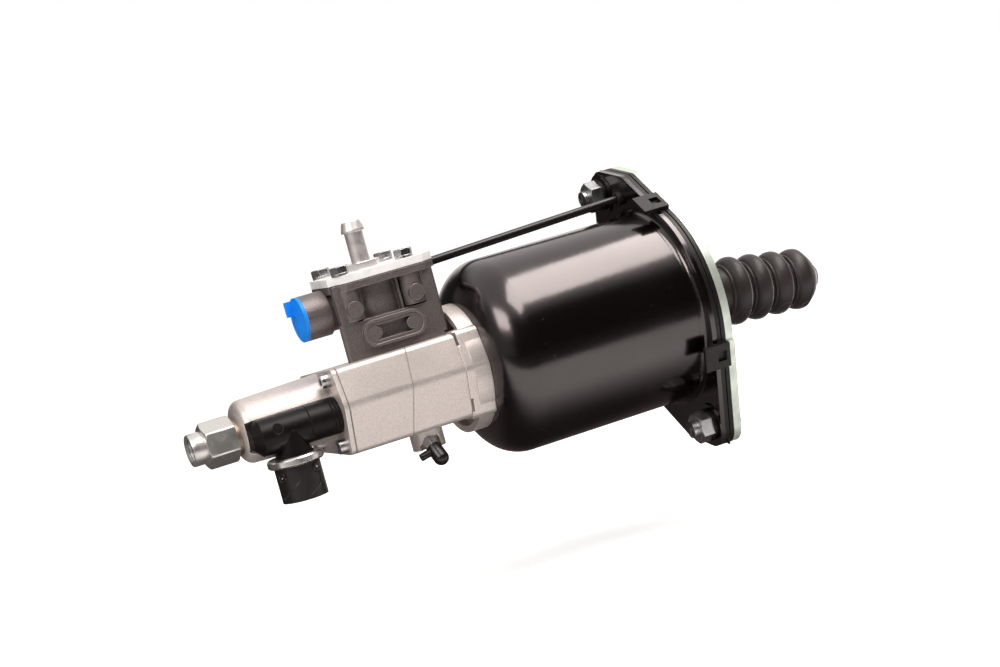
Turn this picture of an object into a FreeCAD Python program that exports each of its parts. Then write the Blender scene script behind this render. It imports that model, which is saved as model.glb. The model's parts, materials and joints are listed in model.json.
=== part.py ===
import FreeCAD, Part

import math
import os

import Sketcher
from FreeCAD import Placement, Rotation, Vector

# Driving dimensions of a pneumatic-hydraulic clutch servo, in millimetres and degrees.
# The X axis is the main axis. X = 0 is the mounting face, and the push rod points along +X.
# Z is up, towards the hose barb, and the air port and the fluid inlet point along -X.
SIZES = {
    # mounting end
    "land_radius": 57.0,
    "land_height": 4.0,
    "plate_thickness": 5.0,
    "frame_thickness": 6.0,
    "frame_groove": 0.8,
    "sheet_thickness": 3.0,
    "rim_width": 7.0,
    "ear_root_angle": -33.0,
    "ear_shoulder_y": -32.5,
    "ear_shoulder_z": 8.5,
    "ear_tip_y": 6.5,
    "ear_tip_z": 16.5,
    "ear_foot_angle": 67.7,
    "ear_foot_rise": 1.6,
    "ear_round": 13.0,
    "bolt_reach": 22.1,
    "bolt_angle": 24.1,
    "bolt_radius": 5.0,
    "bolt_hole_gap": 0.5,
    "bolt_seat_radius": 14.0,
    "bolt_seat_height": 1.0,
    "bolt_washer_radius": 10.0,
    "bolt_washer_thickness": 2.0,
    "nut_flats": 17.0,
    "nut_height": 8.0,
    "bolt_head_radius": 7.0,
    "bolt_head_height": 3.0,
    "thread_overhang": 3.5,
    "clip_length": 17.0,
    "clip_width": 15.5,
    "clip_thickness": 2.6,
    "clip_window": 6.0,
    "clip_gap": 0.15,
    "clip_upper_share": 0.25,
    "clip_side_share": 0.9,
    "groove_share": 0.98,
    # air cylinder
    "cylinder_radius": 60.0,
    "cylinder_wall": 3.0,
    "cylinder_length": 132.0,
    "shoulder_radius": 24.0,
    "flange_fillet": 4.0,
    # neck between the air cylinder and the fluid housing
    "neck_radius": 38.6,
    "neck_thickness": 10.0,
    "neck_rim": 4.0,
    "neck_rim_depth": 6.0,
    "neck_flange_thickness": 15.0,
    "spigot_radius": 17.0,
    "spigot_length": 12.0,
    "neck_screw_circle": 30.5,
    "neck_screw_radius": 3.0,
    "neck_screw_head": 5.0,
    "fit_gap": 0.05,
    # fluid housing
    "housing_length": 74.0,
    "housing_top": 24.0,
    "housing_back_top": 20.0,
    "housing_bottom": 27.0,
    "housing_ridge": 38.0,
    "housing_ridge_z": 1.5,
    "housing_top_half": 31.0,
    "housing_bottom_half": 29.0,
    "housing_ridge_round": 9.0,
    "housing_corner_round": 4.0,
    "rim_step": 1.2,
    "seam_slit_width": 1.5,
    "seam_slit_length": 8.0,
    "seam_slit_z": 20.0,
    "fluid_bore": 12.0,
    # nose
    "nose_flange": 3.0,
    "nose_length": 54.5,
    "nose_root_radius": 20.3,
    "nose_tip_radius": 18.6,
    "nose_round": 6.0,
    "nose_rise": 1.5,
    "nose_bore": 6.5,
    "nose_screw_y": 22.0,
    "nose_screw_top": 18.0,
    "nose_screw_back_top": 15.0,
    "nose_screw_bottom": -21.0,
    "nose_screw_radius": 2.5,
    "nose_screw_head_radius": 4.25,
    "nose_screw_head_height": 5.0,
    "nose_screw_depth": 14.0,
    # fluid inlet union
    "union_thread_radius": 8.0,
    "union_thread_length": 12.0,
    "union_flats": 22.0,
    "union_hex_length": 18.5,
    "union_turn_angle": 25.0,
    "union_collar_radius": 9.6,
    "union_collar_length": 8.0,
    "union_bore": 5.0,
    "inlet_radius": 6.5,
    "inlet_depth": 15.0,
    "union_washer_radius": 10.8,
    "union_washer_thickness": 2.8,
    # travel sensor
    "sensor_radius": 10.7,
    "sensor_length": 53.0,
    "sensor_y": -20.0,
    "sensor_z": -2.8,
    "sensor_gap": 0.2,
    "sensor_chamfer": 5.0,
    "sensor_neck_offset": 30.7,
    "sensor_neck_top": 4.0,
    "sensor_neck_bottom": 11.5,
    "sensor_neck_height": 14.5,
    "sensor_neck_lean": 7.0,
    "collar_radius": 16.5,
    "collar_thickness": 5.0,
    "collar_edge": 1.0,
    "plug_radius": 13.4,
    "plug_wall": 2.2,
    "plug_length": 20.5,
    "plug_floor": 6.0,
    "pin_radius": 0.9,
    "pin_circle": 5.0,
    "pin_length": 11.0,
    # relay valve tower
    "tower_left": 28.5,
    "tower_right": 34.5,
    "tower_foot_reach": 3.2,
    "tower_shelf": 45.0,
    "tower_slab": 9.0,
    "tower_left_slab": 10.0,
    "tower_front": 21.0,
    "tower_web_front": 14.5,
    "tower_barrel": 15.4,
    "tower_barrel_y": 2.6,
    "tower_back": 21.0,
    "tower_back_left": 6.5,
    "tower_round": 2.5,
    "tower_notch_gap": 0.3,
    "tower_top": 68.0,
    "tower_flange": 4.0,
    "cover_left": 29.0,
    "cover_right": 37.5,
    "cover_half_width": 24.0,
    "cover_corner": 8.5,
    "cover_thickness": 4.6,
    "gasket_thickness": 0.5,
    "column_radius": 6.7,
    "column_y": 16.5,
    "column_left": 19.0,
    "column_right": 20.0,
    "column_bottom": 46.0,
    "column_rib": 1.2,
    "column_slot": 1.4,
    "pad_radius": 4.7,
    "pad_z": 52.5,
    "pad_height": 1.6,
    "oval_offset": 1.5,
    "oval_z": 36.0,
    "oval_length": 39.0,
    "oval_height": 15.5,
    "oval_rise": 3.2,
    "oval_rim": 1.4,
    "oval_inset": 0.8,
    "oval_window_length": 23.0,
    "oval_window_height": 8.6,
    "oval_window_depth": 5.0,
    "oval_boss_radius": 3.6,
    "port_radius": 13.35,
    "port_z": 54.2,
    "port_length": 16.0,
    "port_head": 15.0,
    "port_neck_radius": 11.7,
    "port_bore": 9.0,
    "port_depth": 20.0,
    "valve_offset": 31.5,
    "valve_bore": 12.0,
    "valve_bore_bottom": 32.0,
    # cover bolts and hose barb
    "cover_bolt_x": 40.5,
    "cover_bolt_y": 35.0,
    "cover_bolt_radius": 3.0,
    "cover_bolt_flats": 10.0,
    "cover_bolt_head": 4.0,
    "cover_bolt_length": 18.0,
    "cover_washer_radius": 5.4,
    "cover_washer_thickness": 1.6,
    "barb_flats": 20.0,
    "barb_hex_height": 4.0,
    "barb_shank_radius": 5.5,
    "barb_lip_radius": 7.0,
    "barb_lip_height": 6.3,
    "barb_land": 1.2,
    "barb_height": 28.4,
    "barb_bore": 3.6,
    "barb_spigot_radius": 7.0,
    # air port plug
    "plug_cap_thickness": 2.0,
    "plug_stem_length": 8.0,
    "plug_tab_length": 4.5,
    "plug_tab_height": 9.0,
    "plug_tab_thickness": 2.0,
    "plug_tab_y": 4.0,
    "plug_tab_z": 57.0,
    # vent tube
    "tube_radius": 2.6,
    "tube_wall": 0.9,
    "tube_y": 10.0,
    "tube_left_z": 65.0,
    "tube_right_z": 70.6,
    "tube_insert": 7.0,
    "tube_gap": 0.2,
    "grommet_radius": 4.4,
    "grommet_length": 3.0,
    # bleed screw
    "bleed_boss_offset": 23.0,
    "bleed_boss_y": -7.0,
    "bleed_boss_radius": 10.0,
    "bleed_boss_bottom": 39.0,
    "bleed_offset": 25.4,
    "bleed_y": -14.5,
    "bleed_z": -34.0,
    "bleed_lean_angle": 37.5,
    "bleed_turn_angle": 14.5,
    "bleed_radius": 3.0,
    "bleed_flats": 8.0,
    "bleed_hex": 5.0,
    "bleed_depth": 18.0,
    "bleed_seat_radius": 6.4,
    "bleed_cap_radius": 4.6,
    "bleed_cap_length": 8.6,
    "bleed_tab_radius": 2.3,
    "bleed_tab_length": 10.0,
    "bleed_tab_angle": 12.0,
    # power piston, plunger and push rod
    "travel": 50.0,
    "piston_gap": 0.5,
    "ring_gap": 0.05,
    "piston_stop_gap": 0.3,
    "piston_length": 24.0,
    "piston_wall": 4.0,
    "piston_web": 5.0,
    "piston_web_offset": 10.0,
    "hub_radius": 12.0,
    "hub_left": 44.0,
    "hub_right": 1.5,
    "seal_depth": 3.0,
    "seal_width": 4.0,
    "guide_width": 5.0,
    "guide_depth": 1.6,
    "ball_x": -6.0,
    "ball_radius": 7.0,
    "ball_gap": 0.15,
    "rod_radius": 5.0,
    "rod_length": 103.6,
    "rod_tip_radius": 4.2,
    "rod_tip_length": 1.5,
    "rod_droop_angle": 6.0,
    "retainer_thickness": 2.0,
    "retainer_radius": 9.5,
    "retainer_bore": 6.0,
    "stem_radius": 8.0,
    "stem_insert": 24.0,
    "plunger_length": 16.0,
    "plunger_offset": 23.0,
    "cup_width": 4.0,
    "cup_depth": 2.5,
    "magnet_rod_radius": 3.5,
    "magnet_rod_length": 41.0,
    "magnet_radius": 5.6,
    "magnet_length": 6.0,
    "seal_length": 6.0,
    "spring_radius": 20.0,
    "spring_wire": 2.0,
    "spring_turns": 7.0,
    "spring_gap": 0.3,
    # bellows
    "bellows_hole": 19.5,
    "bellows_wall": 1.8,
    "bellows_neck": 17.0,
    "bellows_crest": 21.6,
    "bellows_root": 17.5,
    "bellows_first": 35.9,
    "bellows_pitch": 15.3,
    "bellows_flat": 3.4,
    "bellows_crest_step": 0.75,
    "bellows_root_step": 0.3,
    "bellows_shoulder": 90.0,
    "bellows_shoulder_radius": 13.6,
    "bellows_bead": 21.5,
    "bellows_recess": 22.0,
    "bellows_recess_depth": 2.0,
    "bellows_lip": 7.6,
    "bellows_end": 95.8,
    "bellows_lip_gap": 0.3,
    # relay valve parts
    "relay_gap": 0.05,
    "relay_piston_z": 32.3,
    "relay_piston_height": 9.0,
    "relay_stem_radius": 3.0,
    "relay_stem_top": 50.5,
    "seat_z": 51.0,
    "seat_height": 3.0,
    "seat_bore": 6.0,
    "poppet_radius": 8.0,
    "poppet_height": 3.0,
    "poppet_stem_radius": 3.0,
    "poppet_stem_height": 6.0,
    "relay_wire": 0.9,
    "relay_spring_radius": 9.5,
    "relay_spring_turns": 3.0,
    "poppet_spring_radius": 5.5,
}

doc = FreeCAD.newDocument("clutch_servo")
sheet = doc.addObject("Spreadsheet::Sheet", "Sizes")
for row, (alias, size) in enumerate(SIZES.items(), start=1):
    sheet.set("A%d" % row, alias)
    sheet.set("B%d" % row, str(size))
    sheet.setAlias("B%d" % row, alias)
doc.recompute()


class Size:
    """A length that keeps its value beside the expression that ties it to the sheet."""

    def __init__(self, text, value):
        self.text = text
        self.value = value

    def __add__(self, other):
        return Size("(%s + %s)" % (self.text, text_of(other)), self.value + value_of(other))

    def __sub__(self, other):
        return Size("(%s - %s)" % (self.text, text_of(other)), self.value - value_of(other))

    def __mul__(self, other):
        return Size("(%s * %s)" % (self.text, text_of(other)), self.value * value_of(other))

    def __truediv__(self, other):
        return Size("(%s / %s)" % (self.text, text_of(other)), self.value / value_of(other))

    def __radd__(self, other):
        return Size("(%s + %s)" % (text_of(other), self.text), value_of(other) + self.value)

    def __rsub__(self, other):
        return Size("(%s - %s)" % (text_of(other), self.text), value_of(other) - self.value)

    def __rmul__(self, other):
        return self * other

    def __neg__(self):
        return Size("(0 - %s)" % self.text, -self.value)


def text_of(size):
    return size.text if isinstance(size, Size) else repr(float(size))


def value_of(size):
    return size.value if isinstance(size, Size) else float(size)


class Sheet:
    """Gives every alias of the sheet as a Size."""

    def __getattr__(self, alias):
        return Size("Sizes." + alias, float(sheet.get(alias)))


S = Sheet()


def bind(item, path, size):
    item.setExpression(path, text_of(size))


# Bodies, sketches and features

def new_body(label):
    body = doc.addObject("PartDesign::Body", label)
    body.Label = label
    return body


def plane_of(body, role):
    for feature in body.Origin.OriginFeatures:
        if feature.Role == role:
            return feature
    raise ValueError("no plane " + role)


def new_sketch(body, role, lift=0.0):
    sketch = body.newObject("Sketcher::SketchObject", body.Label + "_sketch")
    sketch.AttachmentSupport = [(plane_of(body, role), "")]
    sketch.MapMode = "FlatFace"
    bind(sketch, "AttachmentOffset.Base.z", lift)
    return sketch


def pin_point(sketch, geometry, end, u, v):
    for kind, size in (("DistanceX", u), ("DistanceY", v)):
        index = sketch.addConstraint(Sketcher.Constraint(kind, geometry, end, value_of(size)))
        sketch.setExpression("Constraints[%d]" % index, text_of(size))


def draw_polygon(sketch, points):
    places = [Vector(value_of(u), value_of(v), 0) for u, v in points]
    first = sketch.GeometryCount
    count = len(points)
    for step in range(count):
        sketch.addGeometry(Part.LineSegment(places[step], places[(step + 1) % count]), False)
    for step, (u, v) in enumerate(points):
        before = first + (step - 1) % count
        sketch.addConstraint(Sketcher.Constraint("Coincident", before, 2, first + step, 1))
        pin_point(sketch, first + step, 1, u, v)


def draw_circle(sketch, u, v, radius):
    centre = Vector(value_of(u), value_of(v), 0)
    circle = sketch.addGeometry(Part.Circle(centre, Vector(0, 0, 1), value_of(radius)), False)
    pin_point(sketch, circle, 3, u, v)
    index = sketch.addConstraint(Sketcher.Constraint("Radius", circle, value_of(radius)))
    sketch.setExpression("Constraints[%d]" % index, text_of(radius))


def draw_slot(sketch, u, v, length, height):
    radius = height / 2
    reach = (length - height) / 2
    left = Vector(value_of(u - reach), value_of(v), 0)
    right = Vector(value_of(u + reach), value_of(v), 0)
    up = Vector(0, value_of(radius), 0)
    normal = Vector(0, 0, 1)
    quarter = math.pi / 2
    right_arc = Part.ArcOfCircle(Part.Circle(right, normal, value_of(radius)), -quarter, quarter)
    left_arc = Part.ArcOfCircle(Part.Circle(left, normal, value_of(radius)), quarter, 3 * quarter)
    first = sketch.GeometryCount
    sketch.addGeometry(right_arc, False)
    sketch.addGeometry(Part.LineSegment(right + up, left + up), False)
    sketch.addGeometry(left_arc, False)
    sketch.addGeometry(Part.LineSegment(left - up, right - up), False)
    for step in range(4):
        ahead = first + (step + 1) % 4
        sketch.addConstraint(Sketcher.Constraint("Tangent", first + step, 2, ahead, 1))
    index = sketch.addConstraint(Sketcher.Constraint("Radius", first, value_of(radius)))
    sketch.setExpression("Constraints[%d]" % index, text_of(radius))
    pin_point(sketch, first, 3, u + reach, v)
    across = sketch.addConstraint(
        Sketcher.Constraint("DistanceX", first + 2, 3, value_of(u - reach)))
    sketch.setExpression("Constraints[%d]" % across, text_of(u - reach))


def extrude(body, sketch, length, kind="Pad", reverse=False):
    feature = body.newObject("PartDesign::" + kind, "%s_%s" % (body.Label, kind.lower()))
    feature.Profile = sketch
    bind(feature, "Length", length)
    feature.Reversed = reverse
    sketch.Visibility = False
    return feature


def pad(body, role, lift, length, draw):
    sketch = new_sketch(body, role, lift)
    draw(sketch)
    return extrude(body, sketch, length)


def pocket(body, role, lift, length, draw, reverse=False):
    sketch = new_sketch(body, role, lift)
    draw(sketch)
    return extrude(body, sketch, length, "Pocket", reverse)


def revolve(body, points, upright=False, lift=0.0):
    """Turns points (along, radius) about X, or points (radius, height) about Z."""
    sketch = new_sketch(body, "XZ_Plane" if upright else "XY_Plane", lift)
    draw_polygon(sketch, points)
    feature = body.newObject("PartDesign::Revolution", body.Label + "_turned")
    feature.Profile = sketch
    feature.ReferenceAxis = (sketch, ["V_Axis" if upright else "H_Axis"])
    feature.Angle = 360.0
    return feature


def turned(label, points, upright=False, at=None):
    body = new_body(label)
    revolve(body, points, upright)
    if at:
        move(body, at)
    return body


def move(item, at, turn=None):
    item.Placement = Placement(Vector(*(value_of(size) for size in at)), turn or Rotation())
    for axis, size in zip("xyz", at):
        bind(item, "Placement.Base." + axis, size)


def dress(body, kind, size, wanted):
    """Rounds or chamfers the edges of the body's last feature that wanted(edge) names."""
    doc.recompute()
    base = body.Tip
    names = ["Edge%d" % index for index, edge in enumerate(base.Shape.Edges, start=1) if wanted(edge)]
    if not names:
        raise ValueError("no edge to dress on " + body.Label)
    feature = body.newObject("PartDesign::" + kind, "%s_%s" % (body.Label, kind.lower()))
    feature.Base = (base, names)
    bind(feature, "Radius" if kind == "Fillet" else "Size", size)
    return feature


def circle_at(x, radius):
    """Tells whether an edge is a circle about X at station x with this radius."""
    def wanted(edge):
        if not isinstance(edge.Curve, Part.Circle):
            return False
        centre = edge.Curve.Center
        on_axis = math.hypot(centre.y, centre.z) < 0.01
        return (on_axis and abs(centre.x - value_of(x)) < 0.01
                and abs(edge.Curve.Radius - value_of(radius)) < 0.01)
    return wanted


def edge_along(axis, places, reach=0.6):
    """Tells whether a straight edge runs along an axis through one of the places."""
    first, second = [index for index in range(3) if index != axis]

    def wanted(edge):
        if not isinstance(edge.Curve, Part.Line) or abs(edge.Curve.Direction[axis]) < 0.999:
            return False
        middle = edge.CenterOfMass
        for u, v in places:
            if math.hypot(middle[first] - value_of(u), middle[second] - value_of(v)) < reach:
                return True
        return False
    return wanted


# Simple solids

TOWARDS_X = Rotation(Vector(0, 1, 0), 90)
UPRIGHT = Rotation()


def rod(label, radius, length, at, turn=UPRIGHT):
    item = doc.addObject("Part::Cylinder", label)
    bind(item, "Radius", radius)
    bind(item, "Height", length)
    move(item, at, turn)
    return item


def cone(label, start_radius, end_radius, length, at, turn=UPRIGHT):
    item = doc.addObject("Part::Cone", label)
    bind(item, "Radius1", start_radius)
    bind(item, "Radius2", end_radius)
    bind(item, "Height", length)
    move(item, at, turn)
    return item


def circle(label, radius, at):
    item = doc.addObject("Part::Circle", label)
    bind(item, "Radius", radius)
    move(item, at)
    return item


def hexagon(label, flats, length, at, turn=UPRIGHT):
    item = doc.addObject("Part::Prism", label)
    item.Polygon = 6
    bind(item, "Circumradius", flats / math.sqrt(3))
    bind(item, "Height", length)
    move(item, at, turn)
    return item


def chamfered_hexagon(label, flats, length, at, turn=UPRIGHT, outer_end=True):
    """A hexagon whose corners are turned off at 30 degrees on its outer face."""
    face = flats / 2
    foot = face + length * math.sqrt(3)
    ends = (foot, face) if outer_end else (face, foot)
    item = doc.addObject("Part::Common", label)
    item.Base = hexagon(label + "_blank", flats, length, at, turn)
    item.Tool = cone(label + "_limit", ends[0], ends[1], length, at, turn)
    return item


def block(label, sides, at, turn=UPRIGHT):
    item = doc.addObject("Part::Box", label)
    for name, size in zip(("Length", "Width", "Height"), sides):
        bind(item, name, size)
    move(item, at, turn)
    return item


def ball(label, radius, at):
    item = doc.addObject("Part::Sphere", label)
    bind(item, "Radius", radius)
    move(item, at)
    return item


def fuse(label, items):
    if len(items) == 2:
        item = doc.addObject("Part::Fuse", label)
        item.Base, item.Tool = items
    else:
        item = doc.addObject("Part::MultiFuse", label)
        item.Shapes = items
    item.Refine = True
    item.Label = label
    return item


def cut(label, base, tool):
    item = doc.addObject("Part::Cut", label)
    item.Base = base
    item.Tool = tool
    item.Refine = True
    item.Label = label
    return item


def group(label, items):
    """Identical separate solids in one node."""
    item = doc.addObject("Part::Compound", label)
    item.Links = items
    item.Label = label
    return item


# Stations along the main axis, from the mounting face to the fluid inlet
PLATE_RIGHT = -S.land_height
PLATE_LEFT = PLATE_RIGHT - S.plate_thickness
FRAME_LEFT = PLATE_LEFT - S.frame_thickness
SHEET_LEFT = FRAME_LEFT - S.sheet_thickness
CYLINDER_LEFT = SHEET_LEFT - S.cylinder_length
HOUSING_RIGHT = CYLINDER_LEFT - S.neck_flange_thickness
HOUSING_LEFT = HOUSING_RIGHT - S.housing_length
NOSE_RIGHT = HOUSING_LEFT - S.nose_flange
NOSE_LEFT = NOSE_RIGHT - S.nose_length
CYLINDER_BORE = S.cylinder_radius - S.cylinder_wall
RIM_RADIUS = S.cylinder_radius + S.rim_width
VALVE_X = HOUSING_RIGHT - S.valve_offset
TOWER_LEFT = VALVE_X - S.tower_left
TOWER_RIGHT = VALVE_X + S.tower_right
COVER_LEFT = VALVE_X - S.cover_left
COVER_RIGHT = VALVE_X + S.cover_right
SENSOR_NECK_X = NOSE_RIGHT - S.sensor_neck_offset
PLUNGER_X = HOUSING_RIGHT - S.plunger_offset


def flange_point(radius, angle):
    """A point of the flange at this radius, with the angle from Z towards Y."""
    turn = math.radians(value_of(angle))
    return radius * math.sin(turn), radius * math.cos(turn)


BOLT_Y, BOLT_Z = flange_point(S.cylinder_radius + S.bolt_reach, S.bolt_angle)
BOLTS = ((BOLT_Y, BOLT_Z), (-BOLT_Y, -BOLT_Z))


def ear_corners():
    """The ear's root on the rim, its shoulder and tip about the bolt, and its foot."""
    return (flange_point(RIM_RADIUS, S.ear_root_angle),
            (BOLT_Y + S.ear_shoulder_y, BOLT_Z + S.ear_shoulder_z),
            (BOLT_Y + S.ear_tip_y, BOLT_Z + S.ear_tip_z),
            flange_point(RIM_RADIUS + S.ear_foot_rise, S.ear_foot_angle))


def ear_points(scale):
    return [(y * scale, z * scale) for y, z in ear_corners()]


def eared_layer(body, start, thickness, scale=1.0):
    """One layer of the two-eared flange, from start towards +X."""
    pad(body, "YZ_Plane", start, thickness, lambda sketch: draw_circle(sketch, 0, 0, RIM_RADIUS * scale))
    corners = ear_points(scale)
    for sign in (1, -1):
        points = [(y * sign, z * sign) for y, z in corners] + [(0.0, 0.0)]
        pad(body, "YZ_Plane", start, thickness, lambda sketch: draw_polygon(sketch, points))


def round_ears(body, scale=1.0):
    places = [(y * sign, z * sign) for y, z in ear_points(scale)[1:3] for sign in (1, -1)]
    dress(body, "Fillet", S.ear_round, edge_along(0, places))


def bolt_holes(body, start, length):
    def holes(sketch):
        for y, z in BOLTS:
            draw_circle(sketch, y, z, S.bolt_radius + S.bolt_hole_gap)
    pocket(body, "YZ_Plane", start, length, holes, reverse=True)


def cylinder_shell():
    """The drawn steel air cylinder with its rolled shoulder and eared flange."""
    body = new_body("cylinder_shell")
    inner_left = CYLINDER_LEFT + S.cylinder_wall
    opening = S.spigot_radius + S.fit_gap
    revolve(body, [(CYLINDER_LEFT, opening), (CYLINDER_LEFT, S.cylinder_radius),
                   (FRAME_LEFT, S.cylinder_radius), (FRAME_LEFT, CYLINDER_BORE),
                   (inner_left, CYLINDER_BORE), (inner_left, opening)])
    dress(body, "Fillet", S.shoulder_radius, circle_at(CYLINDER_LEFT, S.cylinder_radius))
    dress(body, "Fillet", S.shoulder_radius - S.cylinder_wall, circle_at(inner_left, CYLINDER_BORE))
    eared_layer(body, SHEET_LEFT, S.sheet_thickness)
    round_ears(body)
    for y, z in BOLTS:
        pad(body, "YZ_Plane", SHEET_LEFT - S.bolt_seat_height, S.bolt_seat_height,
            lambda sketch: draw_circle(sketch, y, z, S.bolt_seat_radius - S.bolt_seat_height))
    pocket(body, "YZ_Plane", SHEET_LEFT, S.sheet_thickness,
           lambda sketch: draw_circle(sketch, 0, 0, CYLINDER_BORE), reverse=True)
    bolt_holes(body, SHEET_LEFT - S.bolt_seat_height, S.sheet_thickness + S.bolt_seat_height)
    dress(body, "Fillet", S.flange_fillet, circle_at(SHEET_LEFT, S.cylinder_radius))

    def screws(sketch):
        for y, z in neck_screw_places():
            draw_circle(sketch, y, z, S.neck_screw_radius + S.fit_gap)
    pocket(body, "YZ_Plane", CYLINDER_LEFT, S.cylinder_wall, screws, reverse=True)
    return body


def neck_screw_places():
    half = math.sqrt(0.5)
    return [(S.neck_screw_circle * half * y, S.neck_screw_circle * half * z)
            for y, z in ((1, 1), (-1, 1), (-1, -1), (1, -1))]


def clip(label, y, z, angle):
    """A snap clip that bridges the flange sheet, the frame and the plate's edge."""
    turn = Rotation(Vector(1, 0, 0), angle)
    across = turn.multVec(Vector(0, 1, 0))
    normal = turn.multVec(Vector(0, 0, 1))
    left = PLATE_LEFT - S.clip_length

    def plate(name, x, length, width, height, depth):
        """A block centred across the clip, with its foot at this height off the edge."""
        corner = [place + height * normal[axis] - width / 2 * across[axis]
                  for place, axis in ((y, 1), (z, 2))]
        return block(label + name, (length, width, depth), (x, corner[0], corner[1]), turn)

    strap = plate("_strap", left, S.clip_length, S.clip_width, S.clip_gap, S.clip_thickness)
    web = plate("_web", FRAME_LEFT, S.frame_thickness, S.clip_width, -S.clip_thickness,
                S.clip_thickness + S.clip_gap * 2)
    window = plate("_window", left + S.clip_length / 2, S.clip_window, S.clip_window, S.clip_gap * 3,
                   S.clip_thickness)
    return [cut(label, strap, window), web]


def edge_place(first, second, share):
    """A point between two corners of the ear and the angle of that edge from Y."""
    along_y = second[0] - first[0]
    along_z = second[1] - first[1]
    angle = math.degrees(math.atan2(along_z.value, along_y.value))
    return first[0] + along_y * share, first[1] + along_z * share, angle


def sealing_frame():
    """The black moulded frame between the flange sheet and the plate, with its clips."""
    body = new_body("frame_ring")
    layer = (S.frame_thickness - S.frame_groove) / 2
    eared_layer(body, FRAME_LEFT, layer)
    round_ears(body)
    eared_layer(body, PLATE_LEFT - layer, layer)
    round_ears(body)
    eared_layer(body, FRAME_LEFT + layer, S.frame_groove, S.groove_share)
    pocket(body, "YZ_Plane", FRAME_LEFT, S.frame_thickness,
           lambda sketch: draw_circle(sketch, 0, 0, CYLINDER_BORE), reverse=True)
    bolt_holes(body, FRAME_LEFT, S.frame_thickness)
    root, shoulder, tip, foot = ear_corners()
    upper_y, upper_z, upper_angle = edge_place(root, shoulder, S.clip_upper_share)
    side_y, side_z, side_angle = edge_place(tip, foot, S.clip_side_share)
    clips = clip("clip_upper", upper_y, upper_z, upper_angle)
    for sign, flip in ((1, 0), (-1, 180)):
        clips += clip("clip_side_%d" % flip, side_y * sign, side_z * sign, side_angle + flip)
    return fuse("sealing_frame", [body] + clips)


def mounting_plate():
    """The zinc-plated plate with the raised round mounting land."""
    body = new_body("mounting_plate")
    eared_layer(body, PLATE_LEFT, S.plate_thickness)
    round_ears(body)
    pad(body, "YZ_Plane", PLATE_RIGHT, S.land_height, lambda sketch: draw_circle(sketch, 0, 0, S.land_radius))
    pocket(body, "YZ_Plane", PLATE_LEFT, S.plate_thickness + S.land_height,
           lambda sketch: draw_circle(sketch, 0, 0, S.bellows_hole), reverse=True)
    pocket(body, "YZ_Plane", -S.bellows_recess_depth, S.bellows_recess_depth,
           lambda sketch: draw_circle(sketch, 0, 0, S.bellows_recess), reverse=True)
    bolt_holes(body, PLATE_LEFT, S.plate_thickness)
    return body


def flange_fasteners():
    """Two bolts through the ears, with their heads on the mounting side."""
    washer_left = SHEET_LEFT - S.bolt_seat_height - S.bolt_washer_thickness
    nut_left = washer_left - S.nut_height
    bolts = []
    nuts = []
    washers = []
    for index, (y, z) in enumerate(BOLTS):
        shank_left = nut_left - S.thread_overhang
        shank = rod("bolt_shank_%d" % index, S.bolt_radius, PLATE_RIGHT - shank_left,
                    (shank_left, y, z), TOWARDS_X)
        head = rod("bolt_head_%d" % index, S.bolt_head_radius, S.bolt_head_height, (PLATE_RIGHT, y, z),
                   TOWARDS_X)
        bolts.append(fuse("bolt_%d" % index, [shank, head]))
        nut = chamfered_hexagon("nut_hexagon_%d" % index, S.nut_flats, S.nut_height, (nut_left, y, z),
                                TOWARDS_X, outer_end=False)
        hole = rod("nut_hole_%d" % index, S.bolt_radius + S.fit_gap, S.nut_height, (nut_left, y, z),
                   TOWARDS_X)
        nuts.append(cut("nut_%d" % index, nut, hole))
        disc = rod("washer_disc_%d" % index, S.bolt_washer_radius, S.bolt_washer_thickness,
                   (washer_left, y, z), TOWARDS_X)
        bore = rod("washer_bore_%d" % index, S.bolt_radius + S.fit_gap, S.bolt_washer_thickness,
                   (washer_left, y, z), TOWARDS_X)
        washers.append(cut("washer_%d" % index, disc, bore))
    return [group("flange_bolts", bolts), group("flange_nuts", nuts), group("flange_washers", washers)]


def housing_points(step=0.0):
    """The six-sided section of the fluid housing, grown by step."""
    return [(-S.housing_top_half - step, S.housing_top + step),
            (-S.housing_ridge - step, S.housing_ridge_z),
            (-S.housing_bottom_half - step, -S.housing_bottom - step),
            (S.housing_bottom_half + step, -S.housing_bottom - step),
            (S.housing_ridge + step, S.housing_ridge_z),
            (S.housing_top_half + step, S.housing_back_top + step)]


def under_housing_top(rise):
    """The section below the housing's sloping top, raised by rise."""
    slope = (S.housing_top - S.housing_back_top) / (S.housing_top_half * 2)
    front = S.housing_top + slope * (S.housing_ridge - S.housing_top_half) + rise
    back = S.housing_top - slope * (S.housing_ridge + S.housing_top_half) + rise
    return [(-S.housing_ridge, 0.0), (S.housing_ridge, 0.0), (S.housing_ridge, back),
            (-S.housing_ridge, front)]


def round_housing(body, step=0.0):
    points = housing_points(step)
    ridges = [points[1], points[4]]
    corners = [points[0], points[2], points[3], points[5]]
    dress(body, "Fillet", S.housing_ridge_round, edge_along(0, ridges))
    dress(body, "Fillet", S.housing_corner_round, edge_along(0, corners))


def seam_slits(body, start, step):
    """Short prying slits in the slanted faces at the seam with the neck."""
    def slits(sketch):
        for side in (-1, 1):
            outer = (S.housing_ridge + step) * side
            inner = S.housing_bottom_half * side
            for level in (S.seam_slit_z, -S.seam_slit_z):
                low = level - S.seam_slit_length / 2
                high = level + S.seam_slit_length / 2
                draw_polygon(sketch, [(inner, low), (outer, low), (outer, high), (inner, high)])
    pocket(body, "YZ_Plane", start, S.seam_slit_width, slits, reverse=True)


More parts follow.
